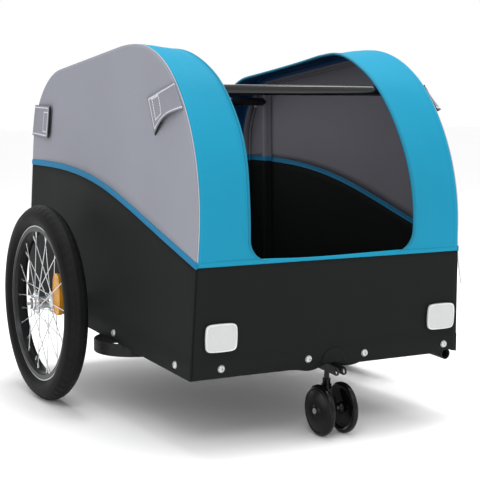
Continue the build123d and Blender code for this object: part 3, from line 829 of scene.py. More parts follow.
def make_lower_wall(name, k):
    """Black lower wall of one side, with a folded hem."""
    tub = sizes().tub
    roll = tub.seam_roll
    columns = turned_columns(roll, tub.length - roll, 56)
    rows = hemmed_rows(0.26)

    def place(column, row):
        back, angle, end = column
        share, above = row
        top = wave(back)
        height = tub.skirt + (top - tub.skirt) * share + above
        along = (back - roll) / (tub.length - 2 * roll)
        slack = sin(pi * min(1.0, share)) * sin(pi * along)
        out = 0.0009 if above and above < tub.hem else 0.0
        out += -0.0010 * slack + 0.0006 * slack * ripple(back, height, k + 5)
        if end:
            out = 0.0009 * (above > 0 and above < tub.hem)
        position = rolled(k, column, height, out)
        over = roll * (pi / 2 - angle) if end else min(back, tub.length - back)
        return position, (back + end * roll * angle, height), over, height

    bm = woven(columns, rows, place)
    piece = finish_piece(
        f"lower_wall_{name}", bm, ["black_cloth", "black_lining"], "chassis",
        [f"side_lower_{name}"], crisp=80.0,
    )
    thicken(piece, tub.cloth, lined=True)
    rim = [(0.0, tub.skirt), (tub.length, tub.skirt)]
    rim += [(back, wave(back)) for back in spaced(tub.length, 0.0, 40)]
    flat_area(rim)


def make_piping(name, k):
    """Raised blue tape over the seam between the two walls of one side."""
    tub = sizes().tub
    roll = tub.seam_roll
    columns = turned_columns(roll, tub.length - roll, 64)
    profile = [(-0.0008, 0.0), (0.0006, 0.0010), (0.0032, 0.0015), (0.0058, 0.0016),
               (0.0084, 0.0014), (0.0108, 0.0009), (0.0120, 0.0)]

    def place(column, row):
        up, out = row
        back, angle, end = column
        length = back + end * roll * angle
        return rolled(k, column, wave(back) + up, out), (up, length), 1.0, length

    bm = woven(columns, profile, place)
    piece = finish_piece(
        f"side_piping_{name}", bm, ["tape"], "chassis", [f"piping_{name}"],
        crisp=60.0,
    )
    thicken(piece, tub.cloth + 0.0019)


def make_seam(name, k):
    """Pale corded edge where a side wall meets the band; its pale grey is a painted highlight along
    the rolled edge.
    """
    tub = sizes().tub
    feet = (wave(0) + PIPING_LIFT, wave(tub.length) + PIPING_LIFT)
    stations = outline(0.0, *feet, fine=0.012)
    inner = tub.seam_roll + 0.0004
    cord = 0.0008

    def place(station, turned):
        # The cord lies in the groove between the two cloths.
        aside, proud = cord * cos(turned), cord * sin(turned) + 0.0002
        spot = (station.back + station.out_back * proud, station.height + station.out_up * proud)
        position = flank(k, *spot, -inner + aside)
        return position, (station.walked, turned * cord), 1.0, station.walked

    turns = spaced(0.0, 2 * pi, 8)
    bm = woven(stations, turns, place)
    bmesh.ops.holes_fill(bm, edges=[e for e in bm.edges if e.is_boundary], sides=0)
    bmesh.ops.recalc_face_normals(bm, faces=bm.faces)
    finish_piece(f"wall_seam_{name}", bm, ["seam"], "chassis", crisp=60.0)


def make_frame_covers(name, k):
    """Lining cloth, in the darker inside colours that are painted shade, sewn over the hoop and the
    rear upright of one side, inside the tub.
    """
    tub = sizes().tub
    inset, round_tube = 0.0118, 0.0100
    # Across the cover: from the wall, round the tube, to the band.
    profile = [(0.0042, 0.0262), (0.0062, 0.0235)]
    profile += [
        (inset + round_tube * sin(turned), inset + round_tube * cos(turned))
        for turned in spaced(radians(-35), radians(125), 14)
    ]
    profile += [(0.0235, 0.0062), (0.0262, 0.0042)]
    stations = outline(0.0, tub.skirt + 0.035, tub.skirt + 0.035, fine=0.014)

    def over_hoop(station, spot):
        aside, deep = spot
        back = station.back - station.out_back * deep
        height = station.height - station.out_up * deep
        length = station.walked
        # The half on the band's side takes the band's inside colour, which is painted shade.
        side = 2.0 if aside > deep + 0.001 else 1.0
        return flank(k, back, height, -aside), (aside + deep, length), side, length

    post_round = 0.0086
    profile_post = [(-0.0135, 0.0040), (-0.0098, 0.0080)]
    profile_post += [
        (post_round * sin(turned), inset + post_round * cos(turned))
        for turned in spaced(radians(-95), radians(95), 14)
    ]
    profile_post += [(0.0098, 0.0080), (0.0135, 0.0040)]
    post_back = (body().inverted() @ box_middle(f"post_{name}")).y

    def over_post(height, spot):
        aside, deep = spot
        point = flank(k, post_back + aside, height, -deep)
        return point, (aside, height), 1.0, height

    covers = {
        "hoop": (stations, profile, over_hoop, (0.049, stations[-1].walked)),
        "post": (spaced(tub.skirt + 0.034, 0.646, 88), profile_post, over_post, (0.044, 0.457)),
    }
    for kind, (along, across, place, flat) in covers.items():
        bm = woven(along, across, place, inside=Vector((k * 0.4, 0.4, 0.45)))
        side = bm.verts.layers.float["edge"]
        for f in bm.faces:
            middle = f.calc_center_median()
            above = middle.z - wave(min(max(middle.y, 0.0), tub.length))
            if above < 0:
                f.material_index = 1
            elif above < PIPING_LIFT:
                f.material_index = 2
            elif sum(v[side] for v in f.verts) > 6.5:
                f.material_index = 3
        piece = finish_piece(
            f"{kind}_cover_{name}", bm, ["grey_lining", "black_lining", "tape", "navy_lining"],
            "chassis", crisp=60.0,
        )
        thicken(piece, 0.0005)


# ---------------------------------------------------------------- bands
def opening_edge(k, station):
    """Half width of the opening at a station of a band."""
    tub = sizes().tub
    edge = smooth_line(EDGE_LENGTHS, EDGE_WIDTHS[k], station.walked)
    above = (station.height - tub.sill - tub.binding * 0.7) / tub.corner_rise
    if above < 1.0:
        below = 1 - max(above, 0.0)
        edge -= tub.corner_reach * (1 - (1 - below**2) ** 0.5)
    return edge


def droop(station, share):
    """How far a roof strip hangs below its hoop, at a share of the way to its free edge."""
    tub = sizes().tub
    behind = min(1.0, max(0.0, (station.back - 0.13) / 0.20))
    return tub.roof_sag * share**2 * max(0.0, station.out_up) * behind


def held_up(station):
    """1 where the hoop and the front crossbar hold the cloth up, 0 away from there."""
    return exp(-((station.back - 0.115) / 0.035) ** 2)


def band_stations():
    """Stations of a band, from the front sill to the rear sill."""
    tub = sizes().tub
    foot = tub.sill + tub.binding - 0.003
    return outline(0.0, foot, foot, fine=0.007)


def make_band(name, k):
    """Blue band of one side: up the front, over the roof and down the back."""
    tub = sizes().tub
    stations = band_stations()
    start = tub.seam_roll + 0.0006
    columns = [(0.0, 0.0), (0.0, 0.0012), (0.0, 0.0065), (0.0, 0.0085)]
    columns += [(share, 0.0) for share in spaced(0.14, 0.86, 8)]
    columns += [(1.0, -0.0085), (1.0, -0.0070), (1.0, -0.0012), (1.0, 0.0)]
    whole = stations[-1].walked

    def place(station, column):
        share, more = column
        outer = half_at(cos(tub.taper) * station.height) - start
        inner = opening_edge(k, station)
        width = outer - inner
        aside = width * share + more
        along = station.walked / whole
        free = 1 - held_up(station)
        slack = sin(pi * min(1.0, aside / width)) * sin(pi * along) ** 0.3 * free
        slack *= min(1.0, max(0.0, aside - 0.022) / 0.02)
        out = 0.0016 * slack * (ripple(station.walked, aside, k + 9) - 1)
        out += 0.0010 * (1 - free) - droop(station, aside / width)
        hemmed = 0.0008 if 0.001 < more < 0.007 or -0.0075 < more < -0.001 else 0.0
        lift = out + hemmed
        x = k * (outer - aside)
        back = station.back + station.out_back * lift
        height = cos(tub.taper) * station.height + station.out_up * lift
        edge = min(aside + 0.0006, width - aside)
        return Vector((x, back, height)), (aside, station.walked), edge, station.walked

    bm = woven(stations, columns, place)
    piece = finish_piece(
        f"opening_band_{name}", bm, ["blue_cloth", "navy_lining"], "chassis",
        [f"band_{name}"], crisp=80.0,
    )
    thicken(piece, tub.cloth, lined=True)
    widths = [half_at(s.height) - start - opening_edge(k, s) for s in stations]
    lengths = [b.walked - a.walked for a, b in zip(stations, stations[1:])]
    area = sum(width * length for width, length in zip(widths, lengths))


def make_opening_tape(name, k):
    """Darker tape folded over the free edge of a band."""
    tub = sizes().tub
    stations = band_stations()
    # Half a turn of tape: over the outside, round the edge and back along the inside.
    profile = [(0.0046, 0.0014), (0.0010, 0.0016), (-0.0010, 0.0004), (-0.0014, -0.0010),
               (-0.0010, -0.0024), (0.0010, -0.0036), (0.0046, -0.0034)]

    def place(station, row):
        aside, out = row
        sag = 0.0010 * held_up(station) - droop(station, 1.0)
        x = k * (opening_edge(k, station) + aside)
        back = station.back + station.out_back * (out + sag)
        height = cos(tub.taper) * station.height + station.out_up * (out + sag)
        return Vector((x, back, height)), (aside + out, station.walked), 1.0, station.walked

    bm = woven(stations, profile, place, inside=Vector((k * 0.25, 0.4, 0.45)))
    bmesh.ops.recalc_face_normals(bm, faces=bm.faces)
    piece = finish_piece(
        f"opening_tape_{name}", bm, ["blue_edge"], "chassis", crisp=60.0
    )
    thicken(piece, 0.0006)


# ---------------------------------------------------------------- end panels
def hem_line(across, front):
    """Height of an end panel's bottom edge."""
    tub = sizes().tub
    height = tub.skirt
    if front:
        # It sags beside the hitch, and lifts over the hitch and the tow socket.
        height -= 0.0060 * exp(-(((across + 0.046) / 0.024) ** 2))
        height += 0.0075 * exp(-((across / 0.017) ** 2))
        height += 0.0050 * exp(-(((across - 0.265) / 0.013) ** 2))
    return height


def make_end_panel(front):
    """Black lower panel at the front or the rear."""
    tub = sizes().tub
    end = "front" if front else "rear"
    base, facing = (0.0, -1) if front else (tub.length, 1)
    columns = spaced(-1.0, 1.0, 76)
    rows = hemmed_rows(0.25)

    def place(column, row):
        share, above = row
        half = half_at(tub.skirt + (tub.sill - tub.skirt) * share + above) - tub.seam_roll - 0.0006
        across = column * half
        low = hem_line(across, front)
        fade = max(0.0, 1 - above / tub.hem) if share == 0 else 0.0
        height = tub.skirt + (tub.sill + 0.001 - tub.skirt) * share + above
        height += (low - tub.skirt) * fade
        slack = (1 - column**2) * sin(pi * min(1.0, share + 0.06)) ** 0.7
        out = -0.0018 * slack + 0.0016 * slack * ripple(across, height, facing * 7)
        if 0.0 < above < tub.hem:
            out += 0.0009
        # The hem hangs slack between its screws.
        out += 0.0016 * fade * sin(across * 40.0) * exp(-((across + 0.05) / 0.09) ** 2)
        position = Vector((across, base + facing * out, height))
        return position, (across, height), min(half - abs(across), half) + 0.0006, height

    bm = woven(columns, rows, place)
    piece = finish_piece(
        f"{end}_panel", bm, ["black_cloth", "black_lining"], "chassis",
        [f"{end}_lower_panel"], crisp=80.0,
    )
    thicken(piece, tub.cloth, lined=True)
    wide, narrow = (2 * (half_at(height) - tub.seam_roll) for height in (tub.skirt, tub.sill))
    deep = tub.sill - tub.skirt
    (wide + narrow) / 2 * deep


def make_sill_binding(front):
    """Blue tape over the top edge of an end panel, across its whole width."""
    tub = sizes().tub
    end = "front" if front else "rear"
    base, facing = (0.0, -1) if front else (tub.length, 1)
    columns = spaced(-1.0, 1.0, 60)
    top = tub.binding
    profile = [(-0.0006, 0.0), (0.0004, 0.0009), (0.0030, 0.0013), (top - 0.0020, 0.0012),
               (top - 0.0004, 0.0004), (top, -0.0012), (top - 0.0006, -0.0030),
               (top - 0.0030, -0.0036), (0.0, -0.0034)]

    def place(column, row):
        up, out = row
        across = column * (half_at(tub.sill) - tub.seam_roll - 0.0004)
        dip = 0.0006 * sin(across * 21.0)
        open_here = max(0.0, 1 - (abs(across) / tub.sill_opening) ** 8)
        # The tape bellies a little in the opening.
        slump = -0.0022 * open_here * cos(across / tub.sill_opening * pi / 2)
        position = Vector((across, base + facing * out, tub.sill + up + (dip + slump) * up / top))
        return position, (up + out, across), 1.0, across

    bm = woven(columns, profile, place)
    bmesh.ops.recalc_face_normals(bm, faces=bm.faces)
    face_out(bm, Vector((0, base - facing * 0.0015, tub.sill)))
    piece = finish_piece(
        f"sill_binding_{end}", bm, ["blue_cloth"], "chassis",
        [f"sill_strip_{end}"], crisp=60.0,
    )
    thicken(piece, 0.0007)
    2 * (half_at(tub.sill) - tub.seam_roll)


def make_hitch_patch():
    """Half-round patch with a soft fold over the hitch."""
    reach = 0.027
    rings = [0.0, 0.25, 0.5, 0.7, 0.85, 0.94, 0.97, 1.0]
    turns = spaced(0.0, pi, 28)

    def place(turned, ring):
        radius = reach * ring
        across = radius * cos(turned)
        height = hem_line(0.0, True) - 0.001 + radius * sin(turned) * 1.05
        low = max(0.0, 1 - (radius * sin(turned)) / (reach * 0.75))
        dome = 0.0030 * low**1.4 * max(0.0, cos(across / reach * pi / 2))
        fold = 0.0014 * sin(ring * 3 * pi) * (0.3 + 0.7 * low)
        out = 0.0010 + dome + fold * (ring < 0.97)
        across += 0.006
        return Vector((across, -out, height)), (across, height), reach * (1 - ring), radius * turned

    bm = woven(turns, rings, place)
    piece = finish_piece(
        "hitch_patch", bm, ["black_cloth"], "chassis", crisp=70.0
    )
    thicken(piece, 0.0015)


def make_floor():
    """Floor cloth over its board."""
    tub = sizes().tub
    low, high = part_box("floor_panel")
    half = (high.x - low.x) / 2
    ends = (0.0032, tub.length - 0.0032)
    rail_top = tub.skirt + 0.0283
    board = 0.003

    def place(back, column):
        across = column * half
        edge = min(half - abs(across), back - ends[0], ends[1] - back)
        pad = 0.0015 * (1 - exp(-edge / 0.010))
        quilt = 0.0008 * cos(across * 2 * pi / 0.125) * cos((back - 0.41) * 2 * pi / 0.16)
        stem = 0.0035 * exp(-(hypot(across, back - 0.0133) / 0.016) ** 4)
        top = rail_top + board + pad + quilt * (1 - exp(-edge / 0.03)) + stem
        return Vector((across, back, top)), (across, back), edge, across + back

    bm = woven(spaced(*ends, 56), spaced(-1.0, 1.0, 40), place, inside=Vector((0, 0.4, 0.0)))
    piece = finish_piece(
        "floor_cloth", bm, ["floor_cloth"], "chassis", ["floor_panel"], crisp=60.0
    )
    thicken(piece, board + 0.0005)


# ---------------------------------------------------------------- tabs, label, sleeve
FRONT_TAB = ((0.0758, 0.6190), (0.1182, 0.6640), (0.2230, 0.6330), (0.1850, 0.5690))
REAR_TAB = ((0.8275, 0.5220), (0.8150, 0.5900), (0.7160, 0.5920), (0.7200, 0.5220))


def tab_point(k, kind, u, v, under=0.0):
    """A point of a tab: u from its root to its tip, v from its lower to its upper edge."""
    low_root, high_root, high_tip, low_tip = (
        Vector(corner) for corner in (FRONT_TAB if kind == "front" else REAR_TAB)
    )
    spot = low_root.lerp(low_tip, u).lerp(high_root.lerp(high_tip, u), v)
    lift = sizes().trim.tab_lift
    inside = min(max(u, 0.0), 1.0)
    if kind == "front":
        # The lower edge curves up between its ends, and the left tab springs off its seam.
        spot += Vector((0.004, 0.006)) * sin(pi * inside) * (1 - v) ** 2
        spring = (2.0, 1.2, 0.45) if k > 0 else (1.0, 2.2, 0.8)
        stand = lift * spring[0] * max(0.0, 1 - v) ** spring[1] * sin(pi * inside ** spring[2])
    else:
        stand = lift * 0.62 * inside**1.6 * (1 - 0.15 * v)
    out = 0.0022 + stand - under + 0.0007 * ripple(spot.x * 4, spot.y * 4, k)
    # It follows the wall round the tub's rear corner.
    tub = sizes().tub
    past = min(tub.seam_roll, max(0.0, spot.x - tub.length + tub.seam_roll))
    out -= tub.seam_roll - (tub.seam_roll**2 - past**2) ** 0.5
    return flank(k, spot.x, spot.y, out)


def make_tab(kind, name, k):
    """A sewn tab that holds a crossbar, with a black hook patch under its tip. The patch shows past
    the tip and, on the front tabs, below the lower edge, as painted shadow.
    """
    corners = [Vector(corner) for corner in (FRONT_TAB if kind == "front" else REAR_TAB)]
    long, width = (corners[2] - corners[1]).length, (corners[1] - corners[0]).length

    def place(u, v):
        hem = 0.0006 * (min(u, 1 - u) * long < 0.009 or min(v, 1 - v) * width < 0.009)
        at_edge = max(0.0, min((1 - u) * long, v * width, (1 - v) * width))
        point = tab_point(k, kind, u, v, -hem)
        return point, (u * long, v * width), at_edge, (u + v) * long

    bm = woven(spaced(0.0, 1.0, 30), spaced(0.0, 1.0, 22), place)
    piece = finish_piece(
        f"{kind}_tab_{name}", bm, [f"{kind}_tab", "black_lining"], "chassis",
        [f"bar_tabs_{name}"], crisp=60.0,
    )
    thicken(piece, 0.0018, lined=True)
    area = flat_area([tuple(corner) for corner in corners])
    low_edge, tip_edge = (corners[3] - corners[0]).length, (corners[3] - corners[2]).length
    cut = (max(long, low_edge) * 1.02, max(width, tip_edge) * 1.02)
    min(area * 1.05, cut[0] * cut[1])

    def under(u, v):
        point = tab_point(k, kind, u, v, 0.0020)
        return point, (u * long, v * width), 1.0, u * long

    # The patch reaches 3.5 mm past the tip, a painted shadow line there.
    tip = 1.0 + 0.0035 / long
    low = -0.03 if kind == "front" else 0.02
    bm = woven(spaced(0.66, tip, 12), spaced(low, 0.98, 16), under)
    patch = finish_piece(
        f"{kind}_tab_hooks_{name}", bm, ["dark_seam"], "chassis", crisp=60.0
    )
    thicken(patch, 0.0010)


def make_label():
    """Blank woven label sewn into the front seam of the left side."""
    low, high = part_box("side_label")
    level, wide, long = 0.376, 0.024, 0.095
    root = half_at(level)
    left = (Vector((0.0002, 0.0)), Vector((0.0030, -0.040)), Vector((0.020, -0.092)))
    right = (Vector((0.0150, -0.010)), Vector((0.0330, -0.045)), Vector((0.043, -0.088)))

    def bowed(points, share):
        first, middle, last = points
        return first.lerp(middle, share).lerp(middle.lerp(last, share), share)

    def place(u, v):
        spot = bowed(left, v).lerp(bowed(right, v), u)
        back = 0.0080 + 0.0050 * sin(pi * v) * (u - 0.4) + 0.003 * v * v
        position = Vector((root + spot.x, back, level + spot.y))
        return position, (u * wide, v * long), min(u, 1 - u) * wide, v * long

    bm = woven(spaced(0, 1, 10), spaced(0, 1, 24), place)
    piece = finish_piece(
        "blank_label", bm, ["label"], "chassis", ["side_label"], crisp=60.0
    )
    thicken(piece, min(0.0012, high.y - low.y))


def make_sleeve():
    """Sewn sleeve for a flag's rod at the front of the left side."""
    middle, half, foot, high = 0.026, 0.017, 0.163, 0.100

    def place(u, v):
        bulge = max(0.0, 1 - (abs(u) / 0.72) ** 2.4)
        out = 0.0012 + 0.0088 * bulge * (0.88 + 0.12 * cos((v - 0.7) * 2.4))
        out += 0.0005 * ripple(u * 0.5, v * 1.4, 2)
        back, height = middle + u * half, foot + v * high
        return flank(1, back, height, out), (u * half, v * high), (1 - abs(u)) * half, v * high

    bm = woven(spaced(-1, 1, 24), spaced(0, 1, 22), place)
    piece = finish_piece(
        "rod_sleeve", bm, ["black_cloth"], "chassis", ["flag_sleeve"], crisp=60.0
    )
    thicken(piece, 0.0014)


# ---------------------------------------------------------------- trim
def make_lens(width, height, thick, power):
    """Reflector with a raised rim and a sunk face, facing +z, in two materials and a back."""
    bm = bmesh.new()
    bmesh.ops.create_circle(bm, cap_ends=True, segments=72, radius=1.0)
    for v in bm.verts:
        angle = atan2(v.co.y, v.co.x)
        c, s = abs(cos(angle)), abs(sin(angle))
        reach = (c**power + s**power) ** (-1 / power)
        u, w = cos(angle) * reach, sin(angle) * reach
        # The sides bulge like a barrel's.
        v.co.x, v.co.y = u * (1 - 0.055 * w * w) * width / 2, w * (1 - 0.045 * u * u) * height / 2
    base = bm.faces[:]
    up = bmesh.ops.extrude_face_region(bm, geom=base)
    top = next(g for g in up["geom"] if isinstance(g, bmesh.types.BMFace))
    bmesh.ops.translate(bm, verts=top.verts, vec=(0, 0, thick))
    rim = top.edges[:]
    bmesh.ops.bevel(
        bm, geom=rim, offset=thick * 0.18, segments=3, profile=0.5, affect="EDGES", material=-1
    )
    bm.normal_update()
    top = max(bm.faces, key=lambda f: f.calc_center_median().z + f.calc_area())
    bmesh.ops.inset_region(bm, faces=[top], thickness=width * 0.018, depth=0.0)
    bmesh.ops.inset_region(bm, faces=[top], thickness=width * 0.012, depth=-thick * 0.16)
    for f in bm.faces:
        f.material_index = 1
    ring = bmesh.ops.inset_region(bm, faces=[top], thickness=width * 0.004, depth=thick * 0.05)
    for f in [top, *ring["faces"]]:
        f.material_index = 0
    centre = top.calc_center_median()
    shrink = Matrix.Diagonal((0.55, 0.55, 1.0))
    bmesh.ops.transform(
        bm, matrix=shrink.to_4x4(), space=Matrix.Translation(-centre), verts=top.verts
    )
    bmesh.ops.poke(bm, faces=[top])
    bmesh.ops.recalc_face_normals(bm, faces=bm.faces)
    return bm


def make_reflectors(front):
    """Two reflectors at the front or the rear."""
    tub = sizes().tub
    end = "front" if front else "rear"
    low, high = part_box(f"reflectors_{end}")
    width, height, thick = 0.062, 0.050, 0.0060
    level = 0.228
    parts = []
    for across in (low.x + width / 2, high.x - width / 2):
        lens_mesh = make_lens(width, height, thick, 8.0)
        base = Matrix.Translation((across, -0.0003 if front else tub.length + 0.0003, level))
        faced = base @ Matrix.Rotation(pi / 2 if front else -pi / 2, 4, "X")
        parts.append(placed(lens_mesh, faced))
        # Dark rubber gasket under the lens.
        gasket = make_lens(width + 0.0024, height + 0.0024, 0.0016, 8.0)
        for f in gasket.faces:
            f.material_index = 2
        parts.append(placed(gasket, faced))
    hue = "clear" if front else "red"
    finish_piece(
        f"{end}_lenses", joined(parts), [f"{hue}_lens", f"{hue}_rim", "backing"], "chassis",
        [f"reflectors_{end}"], crisp=50.0,
    )


def screw_head():
    """Pan head with a cross recess, its seat at the origin, facing +x."""
    trim = sizes().trim
    radius, high = trim.screw_radius, trim.screw_height
    profile = [(0.0, radius), (high * 0.30, radius), (high * 0.62, radius * 0.90),
               (high * 0.86, radius * 0.68), (high * 0.97, radius * 0.46), (high, radius * 0.40),
               (high * 0.55, radius * 0.34), (high * 0.30, 0.0)]
    bm = spun(profile, 48, closed=False)
    # The recess is drawn out into a cross.
    for v in bm.verts:
        spread = hypot(v.co.y, v.co.z)
        if radius * 0.30 < spread < radius * 0.43:
            arms = 0.5 + 0.5 * cos(4 * atan2(v.co.z, v.co.y))
            factor = 0.42 + 0.85 * arms**2
            v.co.y, v.co.z = v.co.y * factor, v.co.z * factor
    return bm


def wall_turn(origin, facing):
    """Stands a screw on a wall, its head along a direction."""
    return Matrix.Translation(origin) @ facing.to_track_quat("X", "Z").to_matrix().to_4x4()


def make_screws():
    """Pan-head screws of the bottom edge, with their washers."""
    tub = sizes().tub
    level = RAIL_LEVEL
    spots = []
    for across in (-0.229, -0.050, 0.072, 0.256):
        spots.append((Vector((across, -0.0016, level)), Vector((0, -1, 0))))
        spots.append((Vector((across, tub.length + 0.0016, level)), Vector((0, 1, 0))))
    for k in SIDES.values():
        out = flank(k, 0, level, 1.0) - flank(k, 0, level, 0.0)
        for back in (0.057, 0.329, 0.500, 0.772):
            spots.append((flank(k, back, level, 0.0016), out.normalized()))
    rim = sizes().trim.screw_radius + 0.0004
    parts = []
    for origin, facing in spots:
        parts.append(placed(screw_head(), wall_turn(origin, facing)))
        washer = spun([(-0.0010, rim), (0.0002, rim), (0.0006, rim - 0.0006), (0.0006, 0.0030),
                       (-0.0010, 0.0030)], 40)
        parts.append(placed(washer, wall_turn(origin, facing)))
    finish_piece(
        "hem_screws", joined(parts), ["screw"], "chassis", ["panel_screws"],
        crisp=40.0,
    )


def make_stow_loop():
    """Ribbed loop that holds the folded tow arm under the right-hand rail."""
    trim = sizes().trim
    low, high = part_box("stow_loop")
    radius = (high.x - low.x) / 2
    across, back, level = (low.x + high.x) / 2, 0.358, 0.140
    half = trim.loop_width / 2
    thick = 0.0030
    ribs = 6
    outside = []
    for i in range(ribs * 4 + 1):
        share = i / (ribs * 4)
        outside.append(((share - 0.5) * 2 * (half - 0.0006), radius - 0.0006 * (i % 4 == 0)))
    profile = [(-half, radius - 0.0012), *outside, (half, radius - 0.0012),
               (half, radius - thick), (-half, radius - thick)]
    ring = spun(profile, 120)
    # It hangs level although the tub leans.
    upright = (
        Matrix.Translation((across, back, level))
        @ Matrix.Rotation(-LEAN, 4, "X")
        @ Matrix.Rotation(-pi / 2, 4, "Y")
    )
    parts = [placed(ring, upright)]
    # Two straps hang it from the rail.
    rail_across = -(half_at(RAIL_LEVEL) - sizes().tub.cloth - 0.0113)
    aside = rail_across - across
    reach = ((radius - thick / 2) ** 2 - aside**2) ** 0.5
    top = 0.161
    for end in (-1, 1):
        strap = soft_box((0.012, 0.0036, top - level + 0.006), 0.0010)
        tilt = -end * atan2(aside, reach)
        spot = Vector((rail_across, back + end * reach, (top + level - 0.006) / 2))
        parts.append(placed(strap, Matrix.Translation(spot) @ Matrix.Rotation(tilt, 4, "Z")))
    finish_piece(
        "stow_strap", joined(parts), ["strap"], "chassis", ["stow_loop"],
        crisp=30.0,
    )


def make_eyelets():
    """Grommets where the wheel sockets pass through the side walls."""
    tub = sizes().tub
    parts = []
    for k in SIDES.values():
        face = flank(k, tub.axle_back, AXLE.z, 0.0)
        ring = spun([(-0.0040, 0.0104), (0.0008, 0.0104), (0.0022, 0.0118), (0.0024, 0.0150),
                     (0.0012, 0.0175), (-0.0004, 0.0180), (-0.0040, 0.0180)], 64)
        parts.append(placed(ring, Matrix.Translation(face) @ Matrix.Scale(k, 4, (1, 0, 0))))
    finish_piece(
        "socket_eyelets", joined(parts), ["yoke"], "chassis", crisp=40.0
    )


def make_crossbar(end):
    """Round crossbar with rolled ends."""
    node = f"crossbar_{end}"
    low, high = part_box(node)
    middle, half = (low + high) / 2, (high.x - low.x) / 2
    radius, bore, lip = (high.z - low.z) / 2, 0.0080, 0.0008
    chamfer = [(0.0, radius - lip), (0.3 * lip, radius - 0.3 * lip), (lip, radius)]
    outside = [(-half + x, high) for x, high in chamfer]
    outside += [(x, radius) for x in spaced(-half + 0.02, half - 0.02, 24)]
    outside += [(half - x, high) for x, high in reversed(chamfer)]
    bm = spun([(-half, bore), *outside, (half, bore)], 64)
    placed(bm, Matrix.Translation(middle))
    finish_piece(
        f"round_bar_{end}", bm, ["bar_paint"], "chassis", [node], leaned=False,
        crisp=50.0,
    )


# ---------------------------------------------------------------- wheels
def make_tyre(name):
    """Tyre of one wheel, with a block tread."""
    wheel = sizes().wheel
    section, ring = wheel.tyre_section, wheel.tyre_radius - wheel.tyre_section
    middle = box_middle(f"tyre_{name}").x
    bead = radians(145)
    steps = 44
    profile = []
    for angle in spaced(-bead, bead, steps):
        swell = 0.0
        if radians(57) < abs(angle) < radians(63):
            swell = 0.0007  # ring on the wall
        if abs(angle) > radians(122):
            swell = -0.0006  # step above the rim
        profile.append(((section + swell) * sin(angle), ring + (section + swell) * cos(angle)))
    inner = section - 0.004
    for angle in spaced(bead - 0.08, -bead + 0.08, 16):
        profile.append((inner * sin(angle), ring + inner * cos(angle)))
    slots = 60
    bm = spun(profile, slots * 4)
    for v in bm.verts:
        radius, turned = hypot(v.co.y, v.co.z), atan2(v.co.z, v.co.y)
        angle = atan2(v.co.x, radius - ring)
        if hypot(v.co.x, radius - ring) < section - 0.002 or abs(angle) > radians(50):
            continue
        # Grooves: one beside the middle on each side, and slots across the shoulders.
        place = (turned / (2 * pi) * slots + (0.5 if v.co.x > 0 else 0.0)) % 1.0
        slot = place < 0.26 and abs(angle) > radians(15)
        groove = radians(11) < abs(angle) < radians(16)
        if slot or groove:
            depth = wheel.tread_depth / radius
            v.co.y, v.co.z = v.co.y * (1 - depth), v.co.z * (1 - depth)
    placed(bm, at_axle(middle))
    finish_piece(
        f"treaded_tyre_{name}", bm, ["tyre"], f"wheel_{name}", [f"tyre_{name}"],
        leaned=False, crisp=50.0,
    )


def make_nipples(name):
    """Nipples that hold the spokes in the rim."""
    wheel = sizes().wheel
    middle = box_middle(f"rim_{name}").x
    count = 28
    parts = []
    for index in range(count):
        lay = 1 if (index // 2) % 2 else -1
        side = 1 if index % 2 else -1
        angle = radians(360 / count * index) + lay * wheel.spoke_turn
        way = Vector((0, cos(angle), sin(angle)))
        nipple = spun([(0.0, 0.0022), (0.0020, 0.0022), (0.0030, 0.0018), (0.0105, 0.0016),
                       (0.0120, 0.0011), (0.0120, 0.0)], 12, closed=False)
        spot = Vector((middle + side * 0.003, AXLE.y, AXLE.z)) + way * (wheel.rim_bed + 0.0008)
        inward = (Vector((middle + side * 0.015, AXLE.y, AXLE.z)) - spot).normalized()
        parts.append(placed(nipple, wall_turn(spot, inward)))
    finish_piece(
        f"spoke_nipples_{name}", joined(parts), ["spoke"], f"wheel_{name}",
        leaned=False, crisp=50.0,
    )


def make_hub_rings(name):
    """Turned shoulders and cone nuts on the hub."""
    low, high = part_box(f"hub_{name}")
    middle, half = (low.x + high.x) / 2, (high.x - low.x) / 2
    parts = []
    for end in (-1, 1):
        shoulder = [(0.0, 0.0119), (0.0005, 0.0150), (0.0030, 0.0152), (0.0055, 0.0132),
                    (0.0085, 0.0121), (0.0085, 0.0118), (0.0, 0.0118)]
        spot = at_axle(middle + end * 0.0155)
        parts.append(placed(spun(shoulder, 48), spot @ Matrix.Scale(-end, 4, (1, 0, 0))))
        cap = [(0.0, 0.0119), (0.0, 0.0141), (0.0030, 0.0146), (0.0060, 0.0136), (0.0072, 0.0119)]
        spot = at_axle(middle + end * (half - 0.0074))
        parts.append(placed(spun(cap, 48), spot @ Matrix.Scale(end, 4, (1, 0, 0))))
    finish_piece(
        f"hub_rings_{name}", joined(parts), ["hub"], f"wheel_{name}", leaned=False,
        crisp=35.0,
    )


def make_spoke_reflector(name):
    """Amber reflector between the spokes, with a lens on both faces."""
    node = f"spoke_reflector_{name}"
    low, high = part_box(node)
    middle = (low + high) / 2
    width, height, thick = high.y - low.y, high.z - low.z, high.x - low.x
    parts = []
    for way in (-1, 1):
        face = make_lens(width, height, thick / 2, 3.4)
        faced = Matrix.Translation(middle) @ Matrix.Rotation(way * pi / 2, 4, "Y")
        turned = faced @ Matrix.Rotation(pi / 2, 4, "Z")
        parts.append(placed(face, turned))
        for offset in (-0.28, 0.0, 0.28):
            bar = soft_box((0.0016, 0.0014, height * 0.80), 0.0005)
            for f in bar.faces:
                f.material_index = 1
            spot = middle + Vector((way * thick * 0.40, offset * width, 0))
            parts.append(placed(bar, Matrix.Translation(spot)))
    finish_piece(
        f"amber_reflector_{name}", joined(parts), ["amber_lens", "amber_rim"], f"wheel_{name}",
        [node], leaned=False, crisp=40.0,
    )


